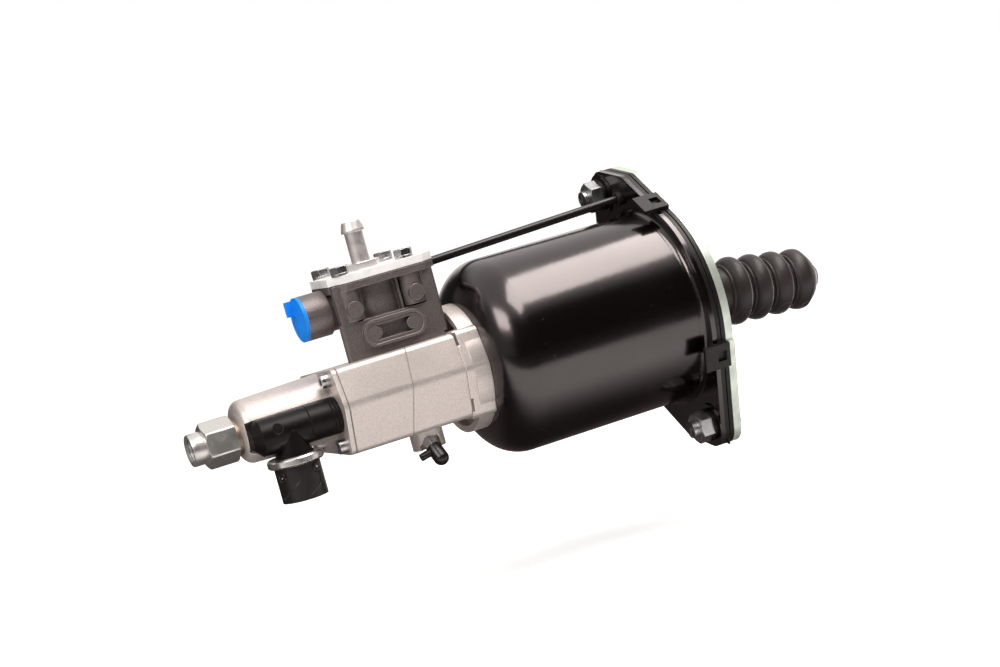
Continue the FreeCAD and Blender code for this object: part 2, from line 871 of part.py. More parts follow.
def neck_flange():
    """The machined neck between the air cylinder and the fluid housing."""
    body = new_body("neck_flange")
    pad(body, "YZ_Plane", HOUSING_RIGHT, S.neck_flange_thickness,
        lambda sketch: draw_polygon(sketch, housing_points(S.rim_step)))
    round_housing(body, S.rim_step)
    disc_left = CYLINDER_LEFT - S.neck_thickness
    hollow = disc_left + S.neck_rim_depth
    revolve(body, [(disc_left, S.neck_radius - S.neck_rim), (disc_left, S.neck_radius),
                   (CYLINDER_LEFT, S.neck_radius), (CYLINDER_LEFT, 0.0),
                   (hollow, 0.0), (hollow, S.neck_radius - S.neck_rim)])
    pad(body, "YZ_Plane", CYLINDER_LEFT, S.spigot_length,
        lambda sketch: draw_circle(sketch, 0, 0, S.spigot_radius))
    pocket(body, "YZ_Plane", HOUSING_RIGHT, S.neck_flange_thickness + S.spigot_length,
           lambda sketch: draw_circle(sketch, 0, 0, S.fluid_bore), reverse=True)
    seam_slits(body, HOUSING_RIGHT, S.rim_step)

    def screws(sketch):
        for y, z in neck_screw_places():
            draw_circle(sketch, y, z, S.neck_screw_radius + S.fit_gap)
    pocket(body, "YZ_Plane", CYLINDER_LEFT - S.neck_thickness, S.neck_thickness, screws, reverse=True)
    return body


def neck_screws():
    """Four screws inside the air cylinder that hold the neck to its end."""
    inner_left = CYLINDER_LEFT + S.cylinder_wall
    length = S.cylinder_wall + S.neck_thickness - 1.0
    screws = []
    for index, (y, z) in enumerate(neck_screw_places()):
        shank = rod("neck_shank_%d" % index, S.neck_screw_radius, length, (inner_left - length, y, z),
                    TOWARDS_X)
        head = rod("neck_head_%d" % index, S.neck_screw_head, S.neck_screw_head, (inner_left, y, z),
                   TOWARDS_X)
        screws.append(fuse("neck_screw_%d" % index, [shank, head]))
    return group("neck_screws", screws)


def nose_screw_places():
    return [(-S.nose_screw_y, S.nose_screw_top), (-S.nose_screw_y, S.nose_screw_bottom),
            (S.nose_screw_y, S.nose_screw_back_top), (S.nose_screw_y, S.nose_screw_bottom)]


def bleed_turn():
    """Turns Z to the direction in which the bleed screw points."""
    sideways = Rotation(Vector(0, 0, 1), value_of(S.bleed_turn_angle))
    return sideways * Rotation(Vector(1, 0, 0), 180 - value_of(S.bleed_lean_angle))


def bleed_point(distance):
    """A point on the bleed screw's axis, measured outwards from the middle of its seat."""
    along = bleed_turn().multVec(Vector(0, 0, 1))
    seat = (HOUSING_RIGHT - S.bleed_offset, S.bleed_y, S.bleed_z)
    return [place + distance * along[axis] for axis, place in enumerate(seat)]


def hydraulic_housing():
    """The light alloy fluid housing with its ridged sides and the bleed boss below."""
    body = new_body("housing_block")
    pad(body, "YZ_Plane", HOUSING_LEFT, S.housing_length,
        lambda sketch: draw_polygon(sketch, housing_points()))
    round_housing(body)
    pad(body, "XY_Plane", -S.bleed_boss_bottom, S.bleed_boss_bottom - S.housing_bottom / 2,
        lambda sketch: draw_circle(sketch, HOUSING_RIGHT - S.bleed_boss_offset, S.bleed_boss_y,
                                   S.bleed_boss_radius))
    pocket(body, "YZ_Plane", HOUSING_LEFT, S.housing_length,
           lambda sketch: draw_circle(sketch, 0, 0, S.fluid_bore), reverse=True)

    def screws(sketch):
        for y, z in nose_screw_places():
            draw_circle(sketch, y, z, S.nose_screw_radius + S.fit_gap)
    pocket(body, "YZ_Plane", HOUSING_LEFT, S.nose_screw_depth, screws, reverse=True)
    hole = rod("bleed_hole", S.bleed_radius + S.fit_gap, S.bleed_depth, bleed_point(-S.bleed_depth),
               bleed_turn())
    seat = rod("bleed_seat", S.bleed_seat_radius, S.bleed_depth, bleed_point(0.0), bleed_turn())
    return cut("hydraulic_housing", body, fuse("bleed_cuts", [hole, seat]))


def nose_housing():
    """The tapered nose with its screwed flange and the pocket for the sensor."""
    body = new_body("nose_block")
    pad(body, "YZ_Plane", NOSE_RIGHT, S.nose_flange, lambda sketch: draw_polygon(sketch, housing_points()))
    round_housing(body)
    revolve(body, [(NOSE_LEFT, 0.0), (NOSE_LEFT, S.nose_tip_radius), (NOSE_RIGHT, S.nose_root_radius),
                   (NOSE_RIGHT, 0.0)], lift=S.nose_rise)
    dress(body, "Fillet", S.nose_round,
          lambda edge: (isinstance(edge.Curve, Part.Circle)
                        and abs(edge.CenterOfMass.x - value_of(NOSE_LEFT)) < 0.01))
    pocket(body, "YZ_Plane", NOSE_LEFT + S.union_thread_length,
           S.nose_length - S.union_thread_length + S.nose_flange,
           lambda sketch: draw_circle(sketch, 0, 0, S.nose_bore), reverse=True)
    pocket(body, "YZ_Plane", NOSE_LEFT, S.union_thread_length,
           lambda sketch: draw_circle(sketch, 0, 0, S.union_thread_radius + S.fit_gap), reverse=True)

    def screws(sketch):
        for y, z in nose_screw_places():
            draw_circle(sketch, y, z, S.nose_screw_radius + S.fit_gap)
    pocket(body, "YZ_Plane", NOSE_RIGHT, S.nose_flange, screws, reverse=True)
    pocket_left = NOSE_RIGHT - S.sensor_length - S.sensor_gap
    seat = rod("sensor_seat", S.sensor_radius + S.sensor_gap, S.sensor_length + S.sensor_gap,
               (pocket_left, S.sensor_y, S.sensor_z), TOWARDS_X)
    neck_seat = cone("sensor_neck_seat", S.sensor_neck_bottom + S.sensor_gap,
                     S.sensor_neck_top + S.sensor_gap, S.sensor_neck_height,
                     (SENSOR_NECK_X, S.sensor_y, S.sensor_z - S.sensor_neck_height))
    neck_bottom = S.sensor_z - S.sensor_neck_height
    collar_seat = rod("sensor_collar_seat", S.collar_radius + S.sensor_gap, S.collar_thickness,
                      (SENSOR_NECK_X, S.sensor_y, neck_bottom + S.sensor_gap - S.collar_thickness))
    return cut("nose_housing", body, fuse("sensor_seats", [seat, neck_seat, collar_seat]))


def nose_screws():
    screws = []
    for index, (y, z) in enumerate(nose_screw_places()):
        head_left = NOSE_RIGHT - S.nose_screw_head_height
        head = rod("nose_head_%d" % index, S.nose_screw_head_radius, S.nose_screw_head_height,
                   (head_left, y, z), TOWARDS_X)
        socket = hexagon("nose_socket_%d" % index, S.nose_screw_head_radius, S.nose_screw_head_height / 2,
                         (head_left, y, z), TOWARDS_X)
        shank_length = S.nose_flange + S.nose_screw_depth - 1.0
        shank = rod("nose_shank_%d" % index, S.nose_screw_radius, shank_length, (NOSE_RIGHT, y, z), TOWARDS_X)
        screws.append(fuse("nose_screw_%d" % index, [cut("nose_cap_%d" % index, head, socket), shank]))
    return group("nose_screws", screws)


def inlet_union():
    """The hexagon union that takes the fluid line, screwed into the nose."""
    hex_right = NOSE_LEFT - S.union_washer_thickness
    hex_left = hex_right - S.union_hex_length
    collar_left = hex_left - S.union_collar_length
    turn = Rotation(Vector(1, 0, 0), -value_of(S.union_turn_angle)) * TOWARDS_X
    nut = chamfered_hexagon("union_hex", S.union_flats, S.union_hex_length, (hex_left, 0, 0), turn,
                            outer_end=False)
    collar = rod("union_collar", S.union_collar_radius, S.union_collar_length, (collar_left, 0, 0), TOWARDS_X)
    thread = rod("union_thread", S.union_thread_radius, S.union_washer_thickness + S.union_thread_length,
                 (hex_right, 0, 0), TOWARDS_X)
    bore = rod("union_bore", S.union_bore, NOSE_LEFT + S.union_thread_length - collar_left,
               (collar_left, 0, 0), TOWARDS_X)
    mouth = rod("union_mouth", S.inlet_radius, S.inlet_depth, (collar_left, 0, 0), TOWARDS_X)
    union = cut("inlet_union", fuse("union_blank", [nut, collar, thread]),
                fuse("union_hollow", [bore, mouth]))
    washer = turned("inlet_washer", [(hex_right, S.union_thread_radius + S.fit_gap),
                                     (hex_right, S.union_washer_radius),
                                     (NOSE_LEFT, S.union_washer_radius),
                                     (NOSE_LEFT, S.union_thread_radius + S.fit_gap)])
    return [union, washer]


def travel_sensor():
    """The sensor barrel with its cone neck, metal collar and round plug socket."""
    left = NOSE_RIGHT - S.sensor_length
    barrel = turned("sensor_barrel", [(0.0, 0.0), (0.0, S.sensor_radius - S.sensor_chamfer),
                                      (S.sensor_chamfer, S.sensor_radius),
                                      (S.sensor_length, S.sensor_radius), (S.sensor_length, 0.0)],
                    at=(left, S.sensor_y, S.sensor_z))
    neck_bottom = S.sensor_z - S.sensor_neck_height
    foot = circle("sensor_neck_foot", S.sensor_neck_bottom, (SENSOR_NECK_X, S.sensor_y, neck_bottom))
    crown = circle("sensor_neck_crown", S.sensor_neck_top,
                   (SENSOR_NECK_X, S.sensor_y - S.sensor_neck_lean, S.sensor_z))
    neck = doc.addObject("Part::Loft", "sensor_neck")
    neck.Sections = [foot, crown]
    neck.Solid = True
    neck.Ruled = True
    sensor = fuse("travel_sensor", [barrel, neck])
    collar_bottom = neck_bottom - S.collar_thickness
    centre = (SENSOR_NECK_X, S.sensor_y, collar_bottom)
    lip = S.collar_radius - S.collar_edge
    collar = turned("sensor_collar", [
        (0.0, 0.0), (lip, 0.0), (S.collar_radius, S.collar_edge),
        (S.collar_radius, S.collar_thickness - S.collar_edge), (lip, S.collar_thickness),
        (0.0, S.collar_thickness)], upright=True, at=centre)
    inner = S.plug_radius - S.plug_wall
    socket = turned("plug_socket", [(0.0, 0.0), (S.plug_radius, 0.0), (S.plug_radius, -S.plug_length),
                                    (inner, -S.plug_length), (inner, -S.plug_floor), (0.0, -S.plug_floor)],
                    upright=True, at=centre)
    pins = []
    for index in range(4):
        angle = math.radians(45 + 90 * index)
        pins.append(rod("pin_%d" % index, S.pin_radius, S.pin_length,
                        (SENSOR_NECK_X + S.pin_circle * math.cos(angle),
                         S.sensor_y + S.pin_circle * math.sin(angle),
                         collar_bottom - S.plug_floor - S.pin_length)))
    return [sensor, collar, socket, group("socket_pins", pins)]


def rectangle(left, right, low, high):
    return [(left, low), (right, low), (right, high), (left, high)]


def cover_points():
    """The cover's outline: a rectangle with its corners cut off."""
    left = COVER_LEFT
    right = COVER_RIGHT
    half = S.cover_half_width
    corner = S.cover_corner
    return [(left + corner, -half), (right - corner, -half), (right, -half + corner), (right, half - corner),
            (right - corner, half), (left + corner, half), (left, half - corner), (left, -half + corner)]


def cover_bolt_places():
    return [(VALVE_X + S.cover_bolt_x / 2 * x, S.cover_bolt_y / 2 * y)
            for x, y in ((-1, -1), (1, -1), (1, 1), (-1, 1))]


def column_rib(body, column):
    """The thin rib beside the right column, turning in under the column's foot."""
    right = column - S.column_radius - S.column_slot
    left = right - S.column_rib
    foot = S.column_bottom - S.column_slot
    top = S.tower_top - S.tower_flange
    corners = [(left, top), (left, foot - S.column_rib), (column, foot - S.column_rib), (column, foot),
               (right, foot), (right, top)]
    pad(body, "XZ_Plane", S.tower_web_front - S.column_rib, S.column_y - S.tower_web_front + S.column_rib * 3,
        lambda sketch: draw_polygon(sketch, corners))


def oval_frame(body):
    """The raised oval frame with its inset face and the window between two round bosses."""
    middle = VALVE_X + S.oval_offset
    face = S.tower_front + S.oval_rise
    inset_face = face - S.oval_inset
    window_floor = inset_face - S.oval_window_depth
    inner_length = S.oval_length - S.oval_rim * 2
    inner_height = S.oval_height - S.oval_rim * 2
    back = S.tower_web_front - S.tower_round
    pad(body, "XZ_Plane", back, face - back,
        lambda sketch: draw_slot(sketch, middle, S.oval_z, S.oval_length, S.oval_height))
    pocket(body, "XZ_Plane", face, S.oval_inset,
           lambda sketch: draw_slot(sketch, middle, S.oval_z, inner_length, inner_height))
    half = S.oval_window_length / 2
    window = rectangle(middle - half, middle + half, S.oval_z - S.oval_window_height / 2,
                       S.oval_z + S.oval_window_height / 2)
    pocket(body, "XZ_Plane", inset_face, S.oval_window_depth, lambda sketch: draw_polygon(sketch, window))
    for x in (middle - half, middle + half):
        pad(body, "XZ_Plane", window_floor, S.oval_window_depth,
            lambda sketch: draw_circle(sketch, x, S.oval_z, S.oval_boss_radius))


def valve_housing():
    """The dark cast relay valve housing: tower, columns, oval frame and air port."""
    body = new_body("valve_housing")
    bottom = S.housing_back_top / 2
    under_flange = S.tower_top - S.tower_flange
    front = -S.tower_front
    web = -S.tower_web_front
    left_slab = TOWER_LEFT + S.tower_left_slab
    right_slab = TOWER_RIGHT - S.tower_slab
    foot_left = TOWER_LEFT - S.tower_foot_reach
    corners = [(foot_left, front), (TOWER_RIGHT, front), (TOWER_RIGHT, S.tower_back),
               (VALVE_X - S.tower_back_left, S.tower_back)]
    pad(body, "XY_Plane", bottom, S.tower_top - bottom, lambda sketch: draw_polygon(sketch, corners))
    dress(body, "Fillet", S.tower_round, edge_along(2, corners))
    for left, right, back in ((foot_left, TOWER_LEFT, S.tower_back), (left_slab, right_slab, web)):
        recess = rectangle(left, right, front - S.tower_round, back)
        pocket(body, "XY_Plane", S.tower_top, S.tower_top - S.tower_shelf,
               lambda sketch: draw_polygon(sketch, recess))
    pad(body, "XY_Plane", bottom, S.tower_top - bottom,
        lambda sketch: draw_circle(sketch, VALVE_X, -S.tower_barrel_y, S.tower_barrel))
    pad(body, "XY_Plane", under_flange, S.tower_flange, lambda sketch: draw_polygon(sketch, cover_points()))
    columns = (VALVE_X - S.column_left, VALVE_X + S.column_right)
    for x in columns:
        pad(body, "XY_Plane", S.column_bottom, under_flange - S.column_bottom,
            lambda sketch: draw_circle(sketch, x, -S.column_y, S.column_radius))
    for x in columns:
        pad(body, "XZ_Plane", S.column_y, S.column_radius + S.pad_height,
            lambda sketch: draw_circle(sketch, x, S.pad_z, S.pad_radius))
    column_rib(body, columns[1])
    oval_frame(body)
    port_left = TOWER_LEFT - S.port_length
    pad(body, "YZ_Plane", port_left, S.port_head,
        lambda sketch: draw_circle(sketch, 0, S.port_z, S.port_radius))
    pad(body, "YZ_Plane", port_left + S.port_head,
        S.tower_left - S.tower_back_left + S.port_length - S.port_head,
        lambda sketch: draw_circle(sketch, 0, S.port_z, S.port_neck_radius))
    pocket(body, "YZ_Plane", port_left, S.port_depth,
           lambda sketch: draw_circle(sketch, 0, S.port_z, S.port_bore), reverse=True)
    pocket(body, "XY_Plane", S.tower_top, S.tower_top - S.valve_bore_bottom,
           lambda sketch: draw_circle(sketch, VALVE_X, 0, S.valve_bore))
    for left, rise in ((foot_left - S.tower_round, 0.0),
                       (HOUSING_RIGHT - S.tower_notch_gap, S.rim_step * 2 + S.tower_notch_gap)):
        pocket(body, "YZ_Plane", left, TOWER_RIGHT + S.tower_round - left,
               lambda sketch: draw_polygon(sketch, under_housing_top(rise)), reverse=True)

    def bolts(sketch):
        for x, y in cover_bolt_places():
            draw_circle(sketch, x, y, S.cover_bolt_radius + S.fit_gap)
    pocket(body, "XY_Plane", S.tower_top, S.cover_bolt_length, bolts)
    pocket(body, "YZ_Plane", COVER_RIGHT - S.tube_insert, S.tube_insert,
           lambda sketch: draw_circle(sketch, S.tube_y, S.tube_left_z, S.tube_radius + S.tube_gap),
           reverse=True)
    return body


def cover_parts():
    """The cover plate and its gasket, with four hexagon bolts and washers."""
    gasket_top = S.tower_top + S.gasket_thickness
    plate_top = gasket_top + S.cover_thickness

    def holes(sketch):
        draw_circle(sketch, VALVE_X, 0, S.barb_spigot_radius + S.fit_gap)
        for x, y in cover_bolt_places():
            draw_circle(sketch, x, y, S.cover_bolt_radius + S.fit_gap)
    pieces = []
    for label, bottom, thickness in (("cover_gasket", S.tower_top, S.gasket_thickness),
                                     ("top_cover", gasket_top, S.cover_thickness)):
        body = new_body(label)
        pad(body, "XY_Plane", bottom, thickness, lambda sketch: draw_polygon(sketch, cover_points()))
        pocket(body, "XY_Plane", bottom + thickness, thickness, holes)
        pieces.append(body)
    bolts = []
    washers = []
    for index, (x, y) in enumerate(cover_bolt_places()):
        under = plate_top + S.cover_washer_thickness
        head = chamfered_hexagon("cover_head_%d" % index, S.cover_bolt_flats, S.cover_bolt_head,
                                 (x, y, under))
        shank = rod("cover_shank_%d" % index, S.cover_bolt_radius, S.cover_bolt_length,
                    (x, y, under - S.cover_bolt_length))
        bolts.append(fuse("cover_bolt_%d" % index, [head, shank]))
        disc = rod("cover_disc_%d" % index, S.cover_washer_radius, S.cover_washer_thickness,
                   (x, y, plate_top))
        hole = rod("cover_disc_hole_%d" % index, S.cover_bolt_radius + S.fit_gap, S.cover_washer_thickness,
                   (x, y, plate_top))
        washers.append(cut("cover_washer_%d" % index, disc, hole))
    return pieces + [group("cover_bolts", bolts), group("cover_washers", washers)]


def hose_barb():
    """The bright hose barb: hexagon foot, shank and one sharp lip."""
    foot = S.tower_top + S.gasket_thickness + S.cover_thickness
    top = foot + S.barb_height
    lip = top - S.barb_lip_height
    hex_top = foot + S.barb_hex_height
    stem = turned("barb_stem", [(S.barb_bore, S.tower_top), (S.barb_spigot_radius, S.tower_top),
                                (S.barb_spigot_radius, foot), (S.barb_shank_radius, hex_top),
                                (S.barb_shank_radius, lip), (S.barb_lip_radius, lip),
                                (S.barb_lip_radius, lip + S.barb_land),
                                (S.barb_shank_radius, top), (S.barb_bore, top)],
                  upright=True, at=(VALVE_X, 0.0, 0.0))
    flats = hexagon("barb_hex", S.barb_flats, S.barb_hex_height, (VALVE_X, 0.0, foot))
    hollow = rod("barb_hollow", S.barb_bore, S.barb_hex_height, (VALVE_X, 0.0, foot))
    return fuse("hose_barb", [stem, cut("barb_foot", flats, hollow)])


def port_plug():
    """The plastic shipping plug in the air port, with its pull tab."""
    mouth = TOWER_LEFT - S.port_length
    face = mouth - S.plug_cap_thickness
    cap = turned("plug_cap", [(face, 0.0), (face, S.port_radius), (mouth, S.port_radius),
                              (mouth, S.port_bore - S.fit_gap),
                              (mouth + S.plug_stem_length, S.port_bore - S.fit_gap * 2),
                              (mouth + S.plug_stem_length, 0.0)], at=(0.0, 0.0, S.port_z))
    tab = block("plug_tab", (S.plug_tab_length, S.plug_tab_thickness, S.plug_tab_height),
                (face - S.plug_tab_length, S.plug_tab_y, S.plug_tab_z))
    return fuse("port_plug", [cap, tab])


def vent_tube():
    """The straight black vent tube from the valve to the upper ear, with a grommet at each end."""
    left = COVER_RIGHT - S.tube_insert
    run = SHEET_LEFT - left
    rise = S.tube_right_z - S.tube_left_z
    slope = math.degrees(math.atan2(rise.value, run.value))
    turn = Rotation(Vector(0, 1, 0), 90 - slope)
    length = (run - S.tube_gap * 2) / math.cos(math.radians(slope))
    start = (left + S.tube_gap, S.tube_y, S.tube_left_z)
    outer = rod("tube_outer", S.tube_radius, length, start, turn)
    inner = rod("tube_inner", S.tube_radius - S.tube_wall, length, start, turn)
    tube = cut("vent_tube", outer, inner)
    grommets = []
    ends = (COVER_RIGHT, S.tube_left_z), (SHEET_LEFT - S.grommet_length, S.tube_right_z)
    for index, (x, z) in enumerate(ends):
        disc = rod("grommet_disc_%d" % index, S.grommet_radius, S.grommet_length, (x, S.tube_y, z), TOWARDS_X)
        hole = rod("grommet_hole_%d" % index, S.tube_radius + S.fit_gap, length + S.grommet_length,
                   (left, S.tube_y, S.tube_left_z), turn)
        grommets.append(cut("grommet_%d" % index, disc, hole))
    return [tube, group("tube_grommets", grommets)]


def bleeder():
    """The leaning bleed screw and its rubber cap."""
    turn = bleed_turn()
    inside = S.bleed_depth - S.bleed_radius
    shank = rod("bleed_shank", S.bleed_radius, inside + S.bleed_hex + S.bleed_cap_length / 2,
                bleed_point(-inside), turn)
    flats = hexagon("bleed_hexagon", S.bleed_flats, S.bleed_hex, bleed_point(0.0), turn)
    screw = fuse("bleed_screw", [shank, flats])
    shell = rod("cap_shell", S.bleed_cap_radius, S.bleed_cap_length, bleed_point(S.bleed_hex), turn)
    dome = ball("cap_dome", S.bleed_cap_radius, bleed_point(S.bleed_hex + S.bleed_cap_length))
    tab = rod("cap_tab", S.bleed_tab_radius, S.bleed_tab_length,
              bleed_point(S.bleed_hex + S.bleed_tab_radius),
              Rotation(Vector(0, 1, 0), -90 - value_of(S.bleed_tab_angle)))
    hollow = rod("cap_hollow", S.bleed_radius + S.fit_gap, S.bleed_cap_length / 2 + S.fit_gap,
                 bleed_point(S.bleed_hex), turn)
    cap = cut("bleed_cap", fuse("cap_blank", [shell, dome, tab]), hollow)
    return [screw, cap]


# Moving power train
PISTON_RIGHT = PLATE_LEFT - S.piston_stop_gap
PISTON_LEFT = PISTON_RIGHT - S.piston_length
PISTON_RADIUS = CYLINDER_BORE - S.piston_gap
WEB_LEFT = PISTON_LEFT + S.piston_web_offset
HUB_LEFT = -S.hub_left


def booster_piston():
    """The light alloy air piston with its rim grooves, web and ball hub."""
    inner = PISTON_RADIUS - S.piston_wall - S.seal_depth
    web_right = WEB_LEFT + S.piston_web
    seal_left = PISTON_RIGHT - S.piston_wall / 2 - S.seal_width
    guide_right = PISTON_LEFT + S.piston_wall / 2 + S.guide_width
    stem_hole = S.stem_radius + S.fit_gap
    stem_end = HUB_LEFT + S.stem_insert
    cup_left = S.ball_x - S.ball_radius - S.ball_gap
    cup = S.ball_radius + S.ball_gap
    shelf = S.hub_right - S.retainer_thickness
    return turned("booster_piston", [
        (HUB_LEFT, stem_hole), (HUB_LEFT, S.hub_radius + S.piston_web / 2),
        (WEB_LEFT, S.hub_radius + S.piston_web / 2), (WEB_LEFT, inner),
        (PISTON_LEFT, inner), (PISTON_LEFT, PISTON_RADIUS),
        (guide_right - S.guide_width, PISTON_RADIUS),
        (guide_right - S.guide_width, PISTON_RADIUS - S.guide_depth),
        (guide_right, PISTON_RADIUS - S.guide_depth), (guide_right, PISTON_RADIUS),
        (seal_left, PISTON_RADIUS), (seal_left, PISTON_RADIUS - S.seal_depth),
        (seal_left + S.seal_width, PISTON_RADIUS - S.seal_depth), (seal_left + S.seal_width, PISTON_RADIUS),
        (PISTON_RIGHT, PISTON_RADIUS), (PISTON_RIGHT, inner), (web_right, inner), (web_right, S.hub_radius),
        (S.hub_right, S.hub_radius), (S.hub_right, S.retainer_radius + S.fit_gap),
        (shelf, S.retainer_radius + S.fit_gap), (shelf, cup), (cup_left, cup), (cup_left, 0.0),
        (stem_end, 0.0), (stem_end, stem_hole)])


def ring(label, left, width, inner, outer):
    return turned(label, [(left, inner), (left, outer), (left + width, outer), (left + width, inner)])


def piston_rings():
    seal_left = PISTON_RIGHT - S.piston_wall / 2 - S.seal_width
    guide_left = PISTON_LEFT + S.piston_wall / 2
    outer = CYLINDER_BORE - S.ring_gap
    seal = ring("piston_seal", seal_left + S.fit_gap, S.seal_width - S.fit_gap * 2,
                PISTON_RADIUS - S.seal_depth + S.fit_gap, outer)
    guide = ring("piston_guide_ring", guide_left + S.fit_gap, S.guide_width - S.fit_gap * 2,
                 PISTON_RADIUS - S.guide_depth + S.fit_gap, outer)
    return [seal, guide]


def plunger_parts():
    """The fluid plunger, its stem into the piston hub and the magnet rod."""
    head_radius = S.fluid_bore - S.ring_gap
    head_right = PLUNGER_X + S.plunger_length
    stem_right = HUB_LEFT + S.stem_insert - S.fit_gap
    groove_left = PLUNGER_X + S.cup_width / 2
    groove_right = groove_left + S.cup_width
    rod_left = PLUNGER_X - S.magnet_rod_length
    plunger = turned("plunger", [
        (rod_left, 0.0), (rod_left, S.magnet_rod_radius), (PLUNGER_X, S.magnet_rod_radius),
        (PLUNGER_X, head_radius), (groove_left, head_radius), (groove_left, head_radius - S.cup_depth),
        (groove_right, head_radius - S.cup_depth), (groove_right, head_radius), (head_right, head_radius),
        (head_right, S.stem_radius), (stem_right, S.stem_radius), (stem_right, 0.0)])
    cup = ring("plunger_seal", groove_left + S.fit_gap, S.cup_width - S.fit_gap * 2,
               head_radius - S.cup_depth + S.fit_gap, head_radius)
    magnet = ring("sensor_magnet", rod_left + S.fit_gap, S.magnet_length, S.magnet_rod_radius + S.fit_gap,
                  S.magnet_radius)
    return [plunger, cup, magnet]


def stem_guides():
    """The fixed guide bush and rod seal round the plunger stem."""
    inner = S.stem_radius + S.ring_gap
    outer = S.fluid_bore - S.fit_gap
    bush = ring("guide_bush", HOUSING_RIGHT, S.neck_flange_thickness + S.spigot_length, inner, outer)
    seal = ring("rod_seal", HOUSING_RIGHT - S.seal_length, S.seal_length - S.fit_gap, inner, outer)
    return [bush, seal]


def push_rod():
    """The push rod, drooping on its ball, and the ring that keeps the ball in its hub."""
    turn = Rotation(Vector(0, 1, 0), 90 + value_of(S.rod_droop_angle))
    head = ball("rod_ball", S.ball_radius, (S.ball_x, 0.0, 0.0))
    shaft = rod("rod_shaft", S.rod_radius, S.rod_length - S.rod_tip_length, (S.ball_x, 0.0, 0.0), turn)
    tip = rod("rod_tip", S.rod_tip_radius, S.rod_length, (S.ball_x, 0.0, 0.0), turn)
    retainer = ring("ball_retainer", S.hub_right - S.retainer_thickness, S.retainer_thickness,
                    S.retainer_bore, S.retainer_radius)
    return [fuse("push_rod", [head, shaft, tip]), retainer]


def coil(label, radius, wire, turns, length, at, turn=UPRIGHT):
    """A coil spring along Z, from at, swept along a helix."""
    inner_length = value_of(length - wire * 2)
    pitch = inner_length / value_of(turns)
    helix = Part.makeHelix(pitch, inner_length, value_of(radius))
    start = helix.Edges[0].valueAt(helix.Edges[0].FirstParameter)
    section = Part.Wire([Part.makeCircle(value_of(wire), start, Vector(0, 1, 0))])
    sweep = Part.Wire(helix.Edges).makePipeShell([section], True, True)
    item = doc.addObject("Part::Feature", label)
    item.Label = label
    item.Shape = sweep
    place = Vector(*(value_of(size) for size in at)) + turn.multVec(Vector(0, 0, value_of(wire)))
    item.Placement = Placement(place, turn)
    return item


def preload_spring():
    start = CYLINDER_LEFT + S.cylinder_wall + S.spring_gap
    length = WEB_LEFT - S.spring_gap - start
    return coil("preload_spring", S.spring_radius, S.spring_wire, S.spring_turns, length, (start, 0, 0),
                TOWARDS_X)


def bellows():
    """The rubber bellows: a collar in the plate's hole and four drooping folds."""
    half = S.bellows_flat / 2
    lip = S.rod_radius + S.bellows_lip_gap
    start = S.bellows_wall * 1.4
    outer = [(start, S.bellows_neck)]
    inner = [(start, S.bellows_neck - S.bellows_wall)]
    for fold in range(4):
        middle = S.bellows_first + S.bellows_pitch * fold
        root = S.bellows_root - S.bellows_root_step * fold
        crest = S.bellows_crest - S.bellows_crest_step * fold
        for points, depth in ((outer, 0.0), (inner, S.bellows_wall)):
            points += [(middle - S.bellows_pitch / 2, root - depth), (middle - half, crest - depth),
                       (middle + half, crest - depth)]
    outer += [(S.bellows_shoulder, S.bellows_shoulder_radius),
              (S.bellows_end - S.bellows_wall, S.bellows_lip + S.bellows_wall),
              (S.bellows_end, S.bellows_lip)]
    inner += [(S.bellows_shoulder - S.bellows_wall, S.bellows_shoulder_radius - S.bellows_wall),
              (S.bellows_end - S.bellows_wall * 3, lip), (S.bellows_end, lip)]
    folds = turned("bellows_folds", [(along - S.ball_x, radius) for along, radius in outer + inner[::-1]])
    move(folds, (S.ball_x, 0.0, 0.0), Rotation(Vector(0, 1, 0), value_of(S.rod_droop_angle)))
    bead_left = PLATE_LEFT - S.bellows_wall
    collar_inner = S.bellows_neck - S.bellows_wall
    collar = turned("bellows_collar", [
        (bead_left, collar_inner), (bead_left, S.bellows_bead), (PLATE_LEFT, S.bellows_bead),
        (PLATE_LEFT, S.bellows_hole - S.fit_gap), (-S.bellows_recess_depth, S.bellows_hole - S.fit_gap),
        (-S.bellows_recess_depth, S.bellows_bead), (-S.fit_gap, S.bellows_bead), (-S.fit_gap, S.bellows_neck),
        (S.bellows_wall * 2, S.bellows_neck),
        (S.bellows_wall * 2, collar_inner)])
    return fuse("bellows", [collar, folds])


# Relay valve parts inside the tower

